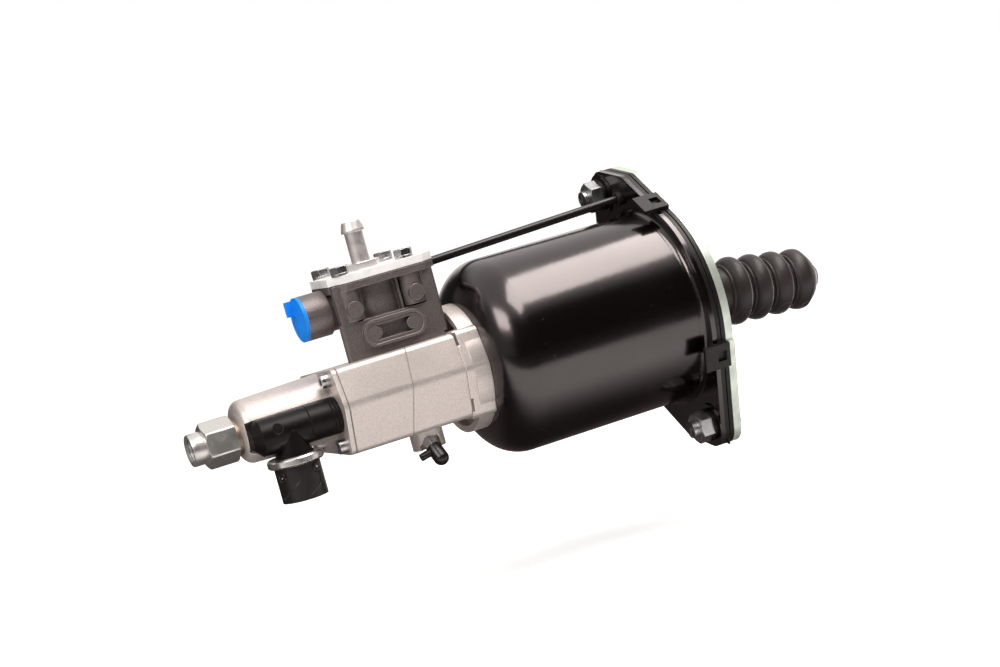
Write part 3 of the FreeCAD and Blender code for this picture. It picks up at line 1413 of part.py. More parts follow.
def relay_parts():
    centre = (VALVE_X, 0.0, 0.0)
    wide = S.valve_bore - S.relay_gap
    piston_top = S.relay_piston_z + S.relay_piston_height
    piston = turned("control_piston", [
        (0.0, S.relay_piston_z), (wide, S.relay_piston_z), (wide, piston_top), (wide / 2, piston_top),
        (S.relay_stem_radius, piston_top), (S.relay_stem_radius, S.relay_stem_top), (0.0, S.relay_stem_top)],
        upright=True, at=centre)
    seat_top = S.seat_z + S.seat_height
    seat = turned("valve_seat", [
        (S.seat_bore, S.seat_z), (S.valve_bore - S.fit_gap, S.seat_z), (S.valve_bore - S.fit_gap, seat_top),
        (S.seat_bore, seat_top)], upright=True, at=centre)
    poppet_bottom = seat_top + S.relay_gap
    poppet_top = poppet_bottom + S.poppet_height
    poppet = turned("valve_poppet", [
        (0.0, poppet_bottom), (S.poppet_radius, poppet_bottom), (S.poppet_radius, poppet_top),
        (S.poppet_stem_radius, poppet_top), (S.poppet_stem_radius, poppet_top + S.poppet_stem_height),
        (0.0, poppet_top + S.poppet_stem_height)], upright=True, at=centre)
    gap = S.spring_gap
    control = coil("control_spring", S.relay_spring_radius, S.relay_wire, S.relay_spring_turns,
                   S.seat_z - piston_top - gap * 2, (VALVE_X, 0.0, piston_top + gap))
    poppet_spring = coil("poppet_spring", S.poppet_spring_radius, S.relay_wire, S.relay_spring_turns,
                         S.tower_top - poppet_top - gap * 2, (VALVE_X, 0.0, poppet_top + gap))
    return [piston, seat, poppet, control, poppet_spring]


nodes = [cylinder_shell(), sealing_frame(), mounting_plate()]
nodes += flange_fasteners()
nodes += [neck_flange(), neck_screws(), hydraulic_housing(), nose_housing(), nose_screws()]
nodes += inlet_union()
nodes += travel_sensor()
nodes.append(valve_housing())
nodes += cover_parts()
nodes += [hose_barb(), port_plug()]
nodes += vent_tube()
nodes += bleeder()
nodes.append(booster_piston())
nodes += piston_rings()
nodes += plunger_parts()
nodes += stem_guides()
nodes += push_rod()
nodes += [preload_spring(), bellows()]
nodes += relay_parts()
doc.recompute()

for item in doc.Objects:
    if "Invalid" in item.State or "Error" in item.State:
        raise RuntimeError("%s failed: %s" % (item.Label, item.State))
bad = [node.Label for node in nodes
       if node.Shape.isNull() or not node.Shape.isValid() or not node.Shape.Solids]
if bad:
    raise RuntimeError("bad shapes: " + ", ".join(bad))

os.makedirs("parts", exist_ok=True)
for node in nodes:
    node.Shape.exportStep("parts/%s.step" % node.Label)
    box = node.Shape.BoundBox
    print("%-20s %d solids, volume %.0f, x %.1f..%.1f y %.1f..%.1f z %.1f..%.1f" % (
        node.Label, len(node.Shape.Solids), node.Shape.Volume,
        box.XMin, box.XMax, box.YMin, box.YMax, box.ZMin, box.ZMax))
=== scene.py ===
import json
import math

import bmesh
import bpy
from mathutils import Matrix, Vector


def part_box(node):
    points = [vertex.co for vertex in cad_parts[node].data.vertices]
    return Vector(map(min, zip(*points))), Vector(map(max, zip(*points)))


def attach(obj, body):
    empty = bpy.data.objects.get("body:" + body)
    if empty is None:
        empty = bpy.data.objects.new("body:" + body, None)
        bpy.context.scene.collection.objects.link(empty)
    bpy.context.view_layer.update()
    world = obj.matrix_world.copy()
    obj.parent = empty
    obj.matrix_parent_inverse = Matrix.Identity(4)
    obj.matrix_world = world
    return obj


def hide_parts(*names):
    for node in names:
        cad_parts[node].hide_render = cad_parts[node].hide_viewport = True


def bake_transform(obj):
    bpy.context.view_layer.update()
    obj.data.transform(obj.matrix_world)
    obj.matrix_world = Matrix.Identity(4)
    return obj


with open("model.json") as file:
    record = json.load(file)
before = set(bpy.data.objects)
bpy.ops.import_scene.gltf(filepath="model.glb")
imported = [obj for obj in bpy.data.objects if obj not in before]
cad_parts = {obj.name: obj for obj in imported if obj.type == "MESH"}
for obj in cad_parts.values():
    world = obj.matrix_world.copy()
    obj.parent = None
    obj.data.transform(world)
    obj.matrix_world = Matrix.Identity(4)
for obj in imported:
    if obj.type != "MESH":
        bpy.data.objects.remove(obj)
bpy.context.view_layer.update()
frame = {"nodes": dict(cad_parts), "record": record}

# Lengths are in metres throughout.

# Camera: the viewing angle, lens and framing of the photograph

AZIMUTH, ELEVATION, ROLL = math.radians(22), math.radians(5), math.radians(15.01)
FOCAL_PIXELS, PICTURE_PIXELS = 2184.0, 1000
SENSOR_MILLIMETRES = 36.0
DISTANCE, VIEW_DEPTH = 1.329, 20.0
AIM = Vector((-0.090, 0.0, 0.0))
AIM_RIGHT, AIM_UP = 53.8, -5.0  # pixels from the middle of the picture to where AIM shows


def place_camera():
    forward = Vector((math.sin(AZIMUTH) * math.cos(ELEVATION), math.cos(AZIMUTH) * math.cos(ELEVATION),
                      -math.sin(ELEVATION)))
    level = Vector((math.cos(AZIMUTH), -math.sin(AZIMUTH), 0.0))
    upright = level.cross(forward)
    right = math.cos(ROLL) * level - math.sin(ROLL) * upright
    up = math.sin(ROLL) * level + math.cos(ROLL) * upright
    scale = DISTANCE / FOCAL_PIXELS
    data = bpy.data.cameras.new("camera")
    data.sensor_width = SENSOR_MILLIMETRES
    data.lens = FOCAL_PIXELS / PICTURE_PIXELS * SENSOR_MILLIMETRES
    data.clip_end = VIEW_DEPTH
    camera = bpy.data.objects.new("camera", data)
    bpy.context.collection.objects.link(camera)
    spot = AIM - forward * DISTANCE - right * AIM_RIGHT * scale - up * AIM_UP * scale
    turn = Matrix((right, up, -forward)).transposed().to_4x4()
    camera.matrix_world = Matrix.Translation(spot) @ turn
    bpy.context.scene.camera = camera


# Shader maths: a value in a material's node tree, and the tree that adds nodes

BEVEL_SAMPLES = 6
EDGE_ROUND = 0.0005
EDGE_FROM, EDGE_FULL = 0.015, 0.2  # how far a rounded edge turns the normal, as 1 - cosine


class Value:
    """One output of a node, with arithmetic that adds Math nodes."""

    def __init__(self, tree, socket):
        self.tree = tree
        self.socket = socket

    def math(self, operation, *others):
        return self.tree.add("ShaderNodeMath", {"operation": operation},
                             dict(enumerate([self, *others])))

    def __add__(self, other):
        return self.math("ADD", other)

    def __mul__(self, other):
        return self.math("MULTIPLY", other)

    def __sub__(self, other):
        return self.math("SUBTRACT", other)

    def __rsub__(self, other):
        return (self * -1.0).math("ADD", other)

    def __gt__(self, other):
        return self.math("GREATER_THAN", other)

    __radd__ = __add__

    def highest(self, *others):
        """The highest of this value and the others."""
        top = self
        for other in others:
            top = top.math("MAXIMUM", other)
        return top

    def between(self, low, high):
        """Rises smoothly from 0 at low to 1 at high."""
        return self.tree.add("ShaderNodeMapRange", {"interpolation_type": "SMOOTHSTEP"},
                             {"Value": self, "From Min": low, "From Max": high})

    def near(self, middle, width):
        """1 at middle, falling smoothly to 0 at width from it."""
        return 1.0 - (self - middle).math("ABSOLUTE").between(0.0, width)


class Nodes:
    """A node tree that adds its nodes from expressions."""

    def __init__(self, tree):
        self.nodes = tree.nodes
        self.links = tree.links

    def set(self, node, name, value):
        socket = node.inputs[name]
        if isinstance(value, Value):
            self.links.new(value.socket, socket)
        elif isinstance(value, tuple) and len(value) == 3 and socket.type == "RGBA":
            socket.default_value = (*value, 1.0)
        else:
            socket.default_value = value

    def add(self, kind, settings=None, inputs=None, output=0):
        node = self.nodes.new(kind)
        for name, setting in (settings or {}).items():
            setattr(node, name, setting)
        for name, value in (inputs or {}).items():
            self.set(node, name, value)
        return Value(self, node.outputs[output])

    def axes(self, letters="XYZ", output="Object"):
        """Coordinates of a place on the part, or of a direction."""
        where = self.add("ShaderNodeTexCoord", output=output)
        return [self.add("ShaderNodeSeparateXYZ", None, {"Vector": where}, output=letter)
                for letter in letters]

    def mix(self, share, first, second):
        """A colour from first at share 0 to second at share 1."""
        return self.add("ShaderNodeMix", {"data_type": "RGBA"},
                        {0: share, 6: first, 7: second}, output=2)

    def ray(self, kind):
        """1 for one kind of ray, 0 for the others."""
        return self.add("ShaderNodeLightPath", output=kind)


class Finish(Nodes):
    """A material with a Principled shader, built up by expressions."""

    def __init__(self, name, **plain):
        self.material = bpy.data.materials.new(name)
        self.material.use_nodes = True
        super().__init__(self.material.node_tree)
        self.shader = self.nodes["Principled BSDF"]
        self.feed(**plain)

    def feed(self, **values):
        """Sets the shader's sockets, named with _ for a space."""
        for socket, value in values.items():
            self.set(self.shader, socket.replace("_", " "), value)
        return self.material

    def place(self):
        return self.add("ShaderNodeTexCoord", output="Object")

    def noise(self, scale, detail=3.0, rough=0.5, stretch=(1, 1, 1), shift=0.0):
        """Noise from 0 to 1; scale is in cells a metre."""
        where = self.add("ShaderNodeMapping", None,
                         {"Vector": self.place(), "Scale": stretch, "Location": (shift, shift, shift)})
        return self.add("ShaderNodeTexNoise", None,
                        {"Vector": where, "Scale": scale, "Detail": detail, "Roughness": rough})

    def cells(self, scale):
        """The distance to the nearest of scattered points, in cells; scale is in cells a metre."""
        return self.add("ShaderNodeTexVoronoi", None, {"Vector": self.place(), "Scale": scale})

    def rounded(self, radius):
        """The surface's normal with each edge rounded to this radius."""
        return self.add("ShaderNodeBevel", {"samples": BEVEL_SAMPLES}, {"Radius": radius})

    def edges(self, radius):
        """1 along edges, 0 on open surface."""
        plain = self.add("ShaderNodeNewGeometry", output="Normal")
        match = self.add("ShaderNodeVectorMath", {"operation": "DOT_PRODUCT"},
                         {0: self.rounded(radius), 1: plain}, output="Value")
        return (1.0 - match).between(EDGE_FROM, EDGE_FULL)

    def bump(self, height, depth, strength=1.0):
        return self.add("ShaderNodeBump", None, {"Height": height, "Distance": depth, "Strength": strength,
                                                 "Normal": self.rounded(EDGE_ROUND)})


def tone(colour, share, lift=0.0):
    """A colour made darker or brighter."""
    return tuple(channel * share + lift for channel in colour)


def distance(first, first_place, second, second_place):
    """The distance from an axis, from two coordinates and the axis's place on each."""
    across = (first - first_place) * (first - first_place)
    upward = (second - second_place) * (second - second_place)
    return (across + upward).math("SQRT")


def disc(first, first_place, second, second_place, inner, outer):
    """1 up to inner from an axis, 0 from outer on."""
    return 1.0 - distance(first, first_place, second, second_place).between(inner, outer)


# Finishes

def gloss_black():
    """Thick gloss black paint: faint orange peel, wiping haze and specks of dust."""
    black, dusty = (0.0016, 0.0010, 0.0010), (0.15, 0.14, 0.14)
    paint = Finish("gloss_black", Specular_IOR_Level=0.6, Specular_Tint=(1.0, 0.90, 0.90),
                   Coat_Roughness=0.17, Coat_Tint=(1.0, 0.93, 0.93))
    haze = paint.noise(14, detail=4.0).between(0.35, 0.75)
    dots = 1.0 - paint.cells(210).between(0.02, 0.09)
    specks = dots * (paint.noise(60, detail=2.0) > 0.56)
    peel = paint.noise(420, detail=2.0) * 0.1
    dents = paint.noise(26, detail=2.0)
    return paint.feed(Base_Color=paint.mix(specks * 0.5, black, dusty),
                      Roughness=0.13 + haze * 0.12 + specks * 0.3,
                      Coat_Weight=0.75 - haze * 0.15,
                      Normal=paint.bump(peel + dents, 0.0007, strength=0.5))


def cast_alloy(name, colour, grain, depth, metallic, roughness, lines=None):
    """A blasted or sand-cast alloy skin with a fine grain, soft mottling, rubbed patches and a painted
    highlight along its edges.

    lines gives dark lines, from the skin, as 1 on them and 0 beside them."""
    skin = Finish(name, Metallic=metallic)
    fine = skin.noise(grain, rough=0.65)
    patch = skin.noise(45).between(0.3, 0.7)
    rubbed = skin.noise(150, detail=4.0, rough=0.7, shift=3.0).between(0.6, 0.78)
    pits = 1.0 - skin.cells(grain * 0.45).between(0.0, 0.28)
    shade = skin.mix(fine.between(0.25, 0.75), tone(colour, 0.78), tone(colour, 1.16))
    shade = skin.mix(patch * 0.3, shade, tone(colour, 0.82))
    shade = skin.mix(rubbed * 0.25, shade, tone(colour, 1.2))
    # painted highlight: the colour is made lighter along rounded edges, as where they catch the light
    shade = skin.mix(skin.edges(0.0009) * 0.8, shade, tone(colour, 1.6))
    height = fine - pits * 0.5
    if lines:
        dark = lines(skin)
        shade = skin.mix(dark * 0.8, shade, tone(colour, 0.12))
        height = height - dark * 4.0
    return skin.feed(Base_Color=shade, Normal=skin.bump(height, depth),
                     Roughness=roughness + fine * 0.14 - patch * 0.05 - rubbed * 0.08)


def machined(name, colour, roughness, metallic=1.0, rings=None):
    """Machined or plated metal with fine turning marks and slight smudges.

    rings gives grooves, from the metal, as 1 in a groove and 0 beside it; the grooves are painted dark, as
    painted shade in them."""
    steel = Finish(name, Metallic=metallic)
    marks = steel.noise(900, detail=2.0, rough=0.6, stretch=(1, 0.12, 0.12))
    smudge = steel.noise(120).between(0.35, 0.7)
    shade = steel.mix(smudge * 0.5, colour, tone(colour, 0.72))
    height = marks
    if rings:
        groove = rings(steel)
        # painted shade: the grooves painted dark
        shade = steel.mix(groove * 0.75, shade, tone(colour, 0.12))
        height = height - groove * 8.0
    return steel.feed(Base_Color=shade, Normal=steel.bump(height, 0.000012),
                      Roughness=roughness + smudge * 0.14 + marks * 0.05)


def moulded(name, colour, roughness, grain=700, marks=None, gloss=0.4, sheen=0.0):
    """Moulded plastic or rubber with a fine skin, a little dust and a painted highlight along its edges.

    marks gives sunk places, from the skin, as 1 in them and 0 beside them. Each sunk place is painted dark
    inside as painted shade, with a painted highlight round its rim."""
    skin = Finish(name, Specular_IOR_Level=gloss, Sheen_Weight=sheen, Sheen_Roughness=0.25)
    fine = skin.noise(grain, rough=0.6)
    dust = skin.noise(70, detail=4.0).between(0.45, 0.8)
    shade = skin.mix(dust * 0.3, colour, tone(colour, 1.5, 0.002))
    # painted highlight: the colour is made lighter along rounded edges
    shade = skin.mix(skin.edges(0.0006) * 0.5, shade, tone(colour, 1.6, 0.03))
    rough = roughness + fine * 0.12 + dust * 0.08
    height = fine
    if marks:
        sunk = marks(skin)
        # painted highlight: a lighter ring round the rim of each sunk place
        rim = sunk.near(0.35, 0.3)
        shade = skin.mix(rim * 0.5, shade, tone(colour, 2.0, 0.04))
        # painted shade: the sunk places themselves painted dark
        shade = skin.mix(sunk.between(0.4, 0.8) * 0.8, shade, tone(colour, 0.15))
        rough = rough + sunk * 0.4
        height = height - sunk * 14.0
    return skin.feed(Base_Color=shade, Roughness=rough, Normal=skin.bump(height, 0.00003))


# Fine lines and marks, placed on the part

HOUSING_JOINT_X = -0.2390
PARTING_X, PARTING_LEAN = -0.1989, 0.16
MOUTH_RADIUS, MOUTH_WAVES = 0.0072, 3600.0
BOLT_Y, BOLT_Z = 0.0355, 0.0769
BOLT_CORE, BOLT_WAVES, BOLT_RECESS = 0.0040, 5000.0, 0.0014
SENSOR_FRONT = -0.026
DIMPLE_X, DIMPLE_Z, DIMPLE_RADIUS = -0.2806, 0.0006, 0.0026
DOT_X, DOT_Z, DOT_RADIUS = -0.2694, 0.0007, 0.0004
SENSOR_JOINT_X, SENSOR_GROOVES = -0.2608, (-0.2468, -0.2446)
SOCKET_X, SOCKET_Y = -0.2727, -0.0200
WINDING_TOP, WINDING_FALL, WINDING_STEP, WINDING_PLACE = -0.020, 0.009, 0.0125, 0.006
WINDING_MIDDLE, WINDING_REACH = -0.036, 0.0065
FRONT_NOTCH_X, FRONT_NOTCH_Z, SIDE_NOTCH_Z = -0.2652, -0.0263, -0.0268
NOTCH_INNER, NOTCH_OUTER = 0.0013, 0.0019
MOULD_LINE_Y, MOULD_LINE_Z, MOULD_LINE_LEAN, MOULD_LINE_FALL = -0.0115, -0.0165, 0.6, 0.105


def housing_lines(skin):
    """The mould's parting line, upright on the housing's front, and the dark joint at its left end."""
    x, y, z = skin.axes()
    parting = (x - z * PARTING_LEAN).near(PARTING_X, 0.0007) * (0.002 - y).between(0.0, 0.004)
    return (parting * 0.5).highest(x.near(HOUSING_JOINT_X, 0.0007))


def nose_lines(skin):
    """The dark joint at the nose flange's right edge."""
    [x] = skin.axes("X")
    return x.near(HOUSING_JOINT_X, 0.0005)


def union_thread(steel):
    """The thread in the union's mouth, as rings that machined paints dark as painted shade in its grooves.
    """
    x, y, z = steel.axes()
    inside = disc(y, 0.0, z, 0.0, MOUTH_RADIUS, MOUTH_RADIUS + 0.0002)
    return inside * (x * MOUTH_WAVES).math("SINE").between(-0.2, 0.6)


def bolt_end_marks(steel):
    """The thread and the small centring recess of the two flange bolts, which machined paints dark as
    painted shade.
    """
    x, y, z = steel.axes()
    reach = distance(y.math("ABSOLUTE"), BOLT_Y, z.math("ABSOLUTE"), BOLT_Z)
    outside = reach.between(BOLT_CORE, BOLT_CORE + 0.0004)
    thread = outside * (x * BOLT_WAVES).math("SINE").between(0.0, 0.6)
    recess = 1.0 - reach.between(BOLT_RECESS, BOLT_RECESS + 0.0005)
    return recess.highest(thread)


def sensor_marks(skin):
    """On the sensor: a round dimple, a dot, and grooves by its joint and its flange."""
    # moulded paints these marks dark as painted shade, with a painted highlight round their rims
    x, y, z = skin.axes()
    front = 1.0 - y.between(SENSOR_FRONT, SENSOR_FRONT + 0.002)
    dimple = disc(x, DIMPLE_X, z, DIMPLE_Z, DIMPLE_RADIUS, DIMPLE_RADIUS + 0.0006)
    dot = disc(x, DOT_X, z, DOT_Z, DOT_RADIUS, DOT_RADIUS * 2)
    joint = x.near(SENSOR_JOINT_X, 0.0005)
    grooves = joint.highest(*[x.near(place, 0.0006) for place in SENSOR_GROOVES])
    return (front * dimple.highest(dot)).highest(grooves)


def socket_marks(skin):
    """On the plug socket: locking grooves that wind down, and round notches above them."""
    # moulded paints these grooves and notches dark as painted shade, with a painted highlight round their
    # rims
    x, y, z = skin.axes()
    turn = (y - SOCKET_Y).math("ARCTAN2", x - SOCKET_X)
    fall = (z - turn * WINDING_FALL - WINDING_TOP).math("WRAP", WINDING_STEP, 0.0)
    winding = fall.near(WINDING_PLACE, 0.0009) * z.near(WINDING_MIDDLE, WINDING_REACH)
    front_notch = disc(x, FRONT_NOTCH_X, z, FRONT_NOTCH_Z, NOTCH_INNER, NOTCH_OUTER)
    side_notch = disc(y, SOCKET_Y, z, SIDE_NOTCH_Z, NOTCH_INNER, NOTCH_OUTER)
    return winding.highest(front_notch, side_notch)


def bellows_marks(skin):
    """On the bellows: the mould's line, low on the front of each fold."""
    # moulded paints this line dark as painted shade, with a painted highlight beside it
    x, y, z = skin.axes()
    height = z - MOULD_LINE_Z + x * MOULD_LINE_FALL + (y - MOULD_LINE_Y) * MOULD_LINE_LEAN
    return height.near(0.0, 0.0004) * (1.0 - y.between(-0.004, 0.0))


LIGHT_ALLOY = {"colour": (0.66, 0.60, 0.575), "grain": 1500, "depth": 0.00009,
               "metallic": 0.7, "roughness": 0.4}
DARK_ALLOY = {"colour": (0.205, 0.180, 0.175), "grain": 900, "depth": 0.00022,
              "metallic": 0.75, "roughness": 0.42}
STEEL = (0.60, 0.60, 0.62)

FINISHES = {
    "gloss_black": gloss_black(),
    "light_alloy": cast_alloy("light_alloy", **LIGHT_ALLOY),
    "dark_alloy": cast_alloy("dark_alloy", **DARK_ALLOY),
    "zinc_plate": machined("zinc_plate", (0.72, 0.80, 0.72), 0.34, 0.75),
    "steel": machined("steel", STEEL, 0.24),
    "bright_steel": machined("bright_steel", (0.80, 0.77, 0.76), 0.22),
    "black_plastic": moulded("black_plastic", (0.0065, 0.0045, 0.0043), 0.34, gloss=0.35),
    "blue_plastic": moulded("blue_plastic", (0.0, 0.23, 0.84), 0.38),
    "black_rubber": moulded("black_rubber", (0.016, 0.0115, 0.0115), 0.42, grain=500),
    "brass": machined("brass", (0.62, 0.45, 0.18), 0.3),
    "spring_steel": machined("spring_steel", (0.34, 0.34, 0.35), 0.3),
}

NODE_FINISHES = {
    "hydraulic_housing": cast_alloy("housing_alloy", **LIGHT_ALLOY, lines=housing_lines),
    "nose_housing": cast_alloy("nose_alloy", **LIGHT_ALLOY, lines=nose_lines),
    "top_cover": machined("cover_alloy", (0.94, 0.925, 0.93), 0.36, 0.2),
    "hose_barb": machined("barb_alloy", (0.90, 0.86, 0.85), 0.3, 0.88),
    "inlet_union": machined("union_zinc", (0.78, 0.765, 0.74), 0.27, 0.95, union_thread),
    "inlet_washer": machined("washer_bronze", (0.42, 0.33, 0.26), 0.35),
    "flange_bolts": machined("bolt_steel", STEEL, 0.24, rings=bolt_end_marks),
    "flange_washers": machined("washer_black", (0.035, 0.033, 0.034), 0.35),
    "cover_bolts": machined("cover_bolt_steel", STEEL, 0.16),
    "cover_washers": machined("cover_washer_steel", (0.66, 0.67, 0.66), 0.22),
    "travel_sensor": moulded("sensor_plastic", (0.0034, 0.0022, 0.0021), 0.34, gloss=0.22,
                             marks=sensor_marks),
    "plug_socket": moulded("socket_plastic", (0.0080, 0.0058, 0.0056), 0.3, gloss=0.45,
                           marks=socket_marks),
    "vent_tube": moulded("tube_plastic", (0.0085, 0.0065, 0.0065), 0.24, gloss=0.5),
    "bleed_cap": moulded("cap_rubber", (0.0060, 0.0048, 0.0046), 0.22, gloss=0.5),
    "bellows": moulded("bellows_rubber", (0.0230, 0.0165, 0.0160), 0.36, grain=500, sheen=0.9,
                       marks=bellows_marks),
}

for part in frame["record"]["subparts"]:
    node = frame["nodes"][part["node"]]
    for slot in node.material_slots:
        slot.material = NODE_FINISHES.get(part["node"], FINISHES[part["material_slot"]])


# Mesh making

SHARP = math.radians(40)


def ring(mesh, middle, side, over, radius, corners):
    """A ring of corners about middle. The radius may be a function of the angle, as on a hexagon."""
    angles = [2 * math.pi * corner / corners for corner in range(corners)]
    return [mesh.verts.new(middle + (side * math.cos(angle) + over * math.sin(angle))
                           * (radius(angle) if callable(radius) else radius)) for angle in angles]


def bridge(mesh, rings):
    """Faces from each ring to the next."""
    for first, second in zip(rings, rings[1:]):
        for corner in range(len(first)):
            ahead = (corner + 1) % len(first)
            mesh.faces.new((first[corner], first[ahead], second[ahead], second[corner]))


def make_piece(name, mesh):
    """Turns a bmesh into a smooth object in the scene."""
    bmesh.ops.recalc_face_normals(mesh, faces=mesh.faces)
    data = bpy.data.meshes.new(name)
    mesh.to_mesh(data)
    mesh.free()
    data.shade_smooth()
    data.set_sharp_from_angle(angle=SHARP)
    piece = bpy.data.objects.new(name, data)
    bpy.context.collection.objects.link(piece)
    return piece


def lathe(name, profile, origin, direction, corners=96):
    """A turned skin: profile is (way along, radius) from origin about direction."""
    along = Vector(direction).normalized()
    lengthwise = abs(along.x) > 0.9
    side = Vector((0, -1, 0)) if lengthwise else along.orthogonal().normalized()
    over = along.cross(side)
    mesh = bmesh.new()
    bridge(mesh, [ring(mesh, Vector(origin) + along * way, side, over, radius, corners)
                  for way, radius in profile])
    return make_piece(name, mesh)


def finish_piece(piece, slot, material=None, body="housing"):
    """Gives a piece its material, the slot's finish if none is given, and lets it ride on body if there is
    one.
    """
    piece.data.materials.append(material or FINISHES[slot])
    if body:
        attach(piece, body)


# The rubber bellows, drooping with the push rod

BALL = Vector((-0.006, 0.0, 0.0))
DROOP = math.radians(6)
ROD_WAY = Vector((math.cos(DROOP), 0.0, -math.sin(DROOP)))
FOLDS, FIRST_FOLD, FOLD_PITCH = 4, 0.0416, 0.0153
CREST, CREST_STEP = 0.0217, 0.00075  # the first fold's radius, and how much less each next one has
ROOT, ROOT_STEP = 0.0156, 0.0003
RIB, FOLD_HALF, FOLD_SHIFT = 0.0018, 0.0058, 0.0004
FOLD_STEPS, LAST_FOLD_LEAVES_OFF = 20, 4
LEFT_SWELL, RIGHT_SWELL, FULLNESS = 1.8, 3.0, 0.65

SLEEVE = [(0.0085, 0.0166), (0.016, 0.0166), (0.0200, 0.0168), (0.0202, 0.0176), (0.0210, 0.0178)]
LIP = [(0.0955, 0.0150), (0.0975, 0.0128), (0.0992, 0.0104), (0.1004, 0.0086), (0.1012, 0.0080),
       (0.1018, 0.0076), (0.1020, 0.0069), (0.1018, 0.0058), (0.0995, 0.0053)]
COLLAR = [(-0.0108, 0.0150), (-0.0108, 0.0214), (-0.0092, 0.0214), (-0.0091, 0.0194),
          (-0.0020, 0.0194), (-0.0020, 0.0215), (-0.0001, 0.0215), (0.0010, 0.0206),
          (0.0022, 0.0182), (0.0040, 0.0172), (0.0046, 0.0170), (0.0046, 0.0152)]


def fold_points(fold):
    """One fold of the bellows: a narrow rib in the valley, then the rounded fold."""
    low = ROOT - ROOT_STEP * fold
    high = CREST - CREST_STEP * fold
    middle = FIRST_FOLD + FOLD_PITCH * fold
    points = [(middle - 0.0086, low), (middle - 0.0067, low), (middle - 0.0066, low + 0.0014),
              (middle - 0.0062, low + RIB), (middle - 0.0055, low + RIB)]
    last = FOLD_STEPS if fold < FOLDS - 1 else FOLD_STEPS - LAST_FOLD_LEAVES_OFF
    for step in range(1, last):
        across = 2 * step / FOLD_STEPS - 1
        swell, foot = (LEFT_SWELL, RIB) if across < 0 else (RIGHT_SWELL, 0.0)
        lift = (1 - abs(across) ** swell) ** FULLNESS
        points.append((middle + FOLD_SHIFT + FOLD_HALF * across, low + foot + (high - low - foot) * lift))
    return points


def make_bellows():
    """The folds from the plate to the lip and back inside it, and the collar in the plate."""
    profile = SLEEVE + [point for fold in range(FOLDS) for point in fold_points(fold)] + LIP
    folds = lathe("bellows_skin", profile, BALL, ROD_WAY)
    finish_piece(folds, "black_rubber", NODE_FINISHES["bellows"], body=None)
    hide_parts("bellows")
    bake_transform(folds)
    collar = lathe("bellows_collar", COLLAR, (0, 0, 0), (1, 0, 0))
    finish_piece(collar, "black_rubber")


# The zinc-plated inlet union

UNION_LEFT = -0.3258
HALF_FLATS, FACET_TURN = 0.0119, math.radians(-3.75)
HEXAGON_LEFT, HEXAGON_RIGHT, CHAMFER_SLOPE = 0.0080, 0.0265, 1.75
THREAD_END, THREAD_PITCH, THREAD_RINGS = 0.0130, 0.0014, 8
THREAD_CREST, THREAD_ROOT = 0.0058, 0.0067


def hexagon(limit):
    """The hexagon's radius as a function of the angle, cut off round at limit by its chamfer."""
    def radius(angle):
        across = (angle - FACET_TURN + math.pi / 6) % (math.pi / 3) - math.pi / 6
        return min(HALF_FLATS / math.cos(across), limit)
    return radius


def make_union():
    """The union: a threaded mouth in its collar, and a chamfered hexagon."""
    thread = []
    for turn in range(THREAD_RINGS):
        start = THREAD_END - turn * THREAD_PITCH
        thread += [(start, THREAD_CREST), (start - 0.0002, THREAD_CREST),
                   (start - 0.0007, THREAD_ROOT), (start - 0.0009, THREAD_ROOT)]
    left = [(HEXAGON_LEFT + rise, hexagon(0.0118 + rise * CHAMFER_SLOPE))
            for rise in (0.0, 0.0003, 0.0006, 0.0009, 0.0013)]
    right = [(HEXAGON_RIGHT - rise, hexagon(0.0128 + rise * CHAMFER_SLOPE))
             for rise in (0.0006, 0.0003, 0.0)]
    bore_end = [(0.0150, 0.0), (0.0150, THREAD_CREST)]
    mouth = [(0.0012, 0.0068), (0.0002, 0.0080), (0.0, 0.0084), (0.0, 0.0091)]
    collar = [(0.0006, 0.0096), (0.0072, 0.0096), (0.0074, 0.0093), (HEXAGON_LEFT, 0.0093)]
    shank = [(HEXAGON_RIGHT, 0.0090), (0.0300, 0.0090)]
    union = lathe("union_body", bore_end + thread + mouth + collar + left + right + shank,
                  (UNION_LEFT, 0.0, 0.0), (1, 0, 0))
    finish_piece(union, "zinc_plate", NODE_FINISHES["inlet_union"])
    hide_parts("inlet_union")


# The locking pits in the plug socket's wall

PIT_REACH = 0.0131
PITS = (("socket_pit_front", math.radians(-58), -0.0262), ("socket_pit_left", math.radians(-152), -0.0276))
PIT_RIM = [(0.0, 0.0030), (0.0010, 0.0028), (0.0012, 0.0023), (0.0007, 0.0021), (0.0006, 0.0)]
PIN = [(0.0005, 0.0006), (0.0012, 0.0005), (0.0014, 0.0)]


def make_socket_pits():
    """Round pits, each with a bright pin in its middle."""
    for name, turn, height in PITS:
        way = Vector((math.cos(turn), math.sin(turn), 0.0))
        foot = Vector((SOCKET_X, SOCKET_Y, height)) + way * PIT_REACH
        rim = lathe(name, PIT_RIM, foot, way, 32)
        finish_piece(rim, "black_plastic", NODE_FINISHES["bleed_cap"])
        pin = lathe(name + "_pin", PIN, foot, way, 16)
        finish_piece(pin, "bright_steel")


# Coil springs, each filling the box of its node

WIRE_CORNERS, STEPS_PER_TURN = 14, 40


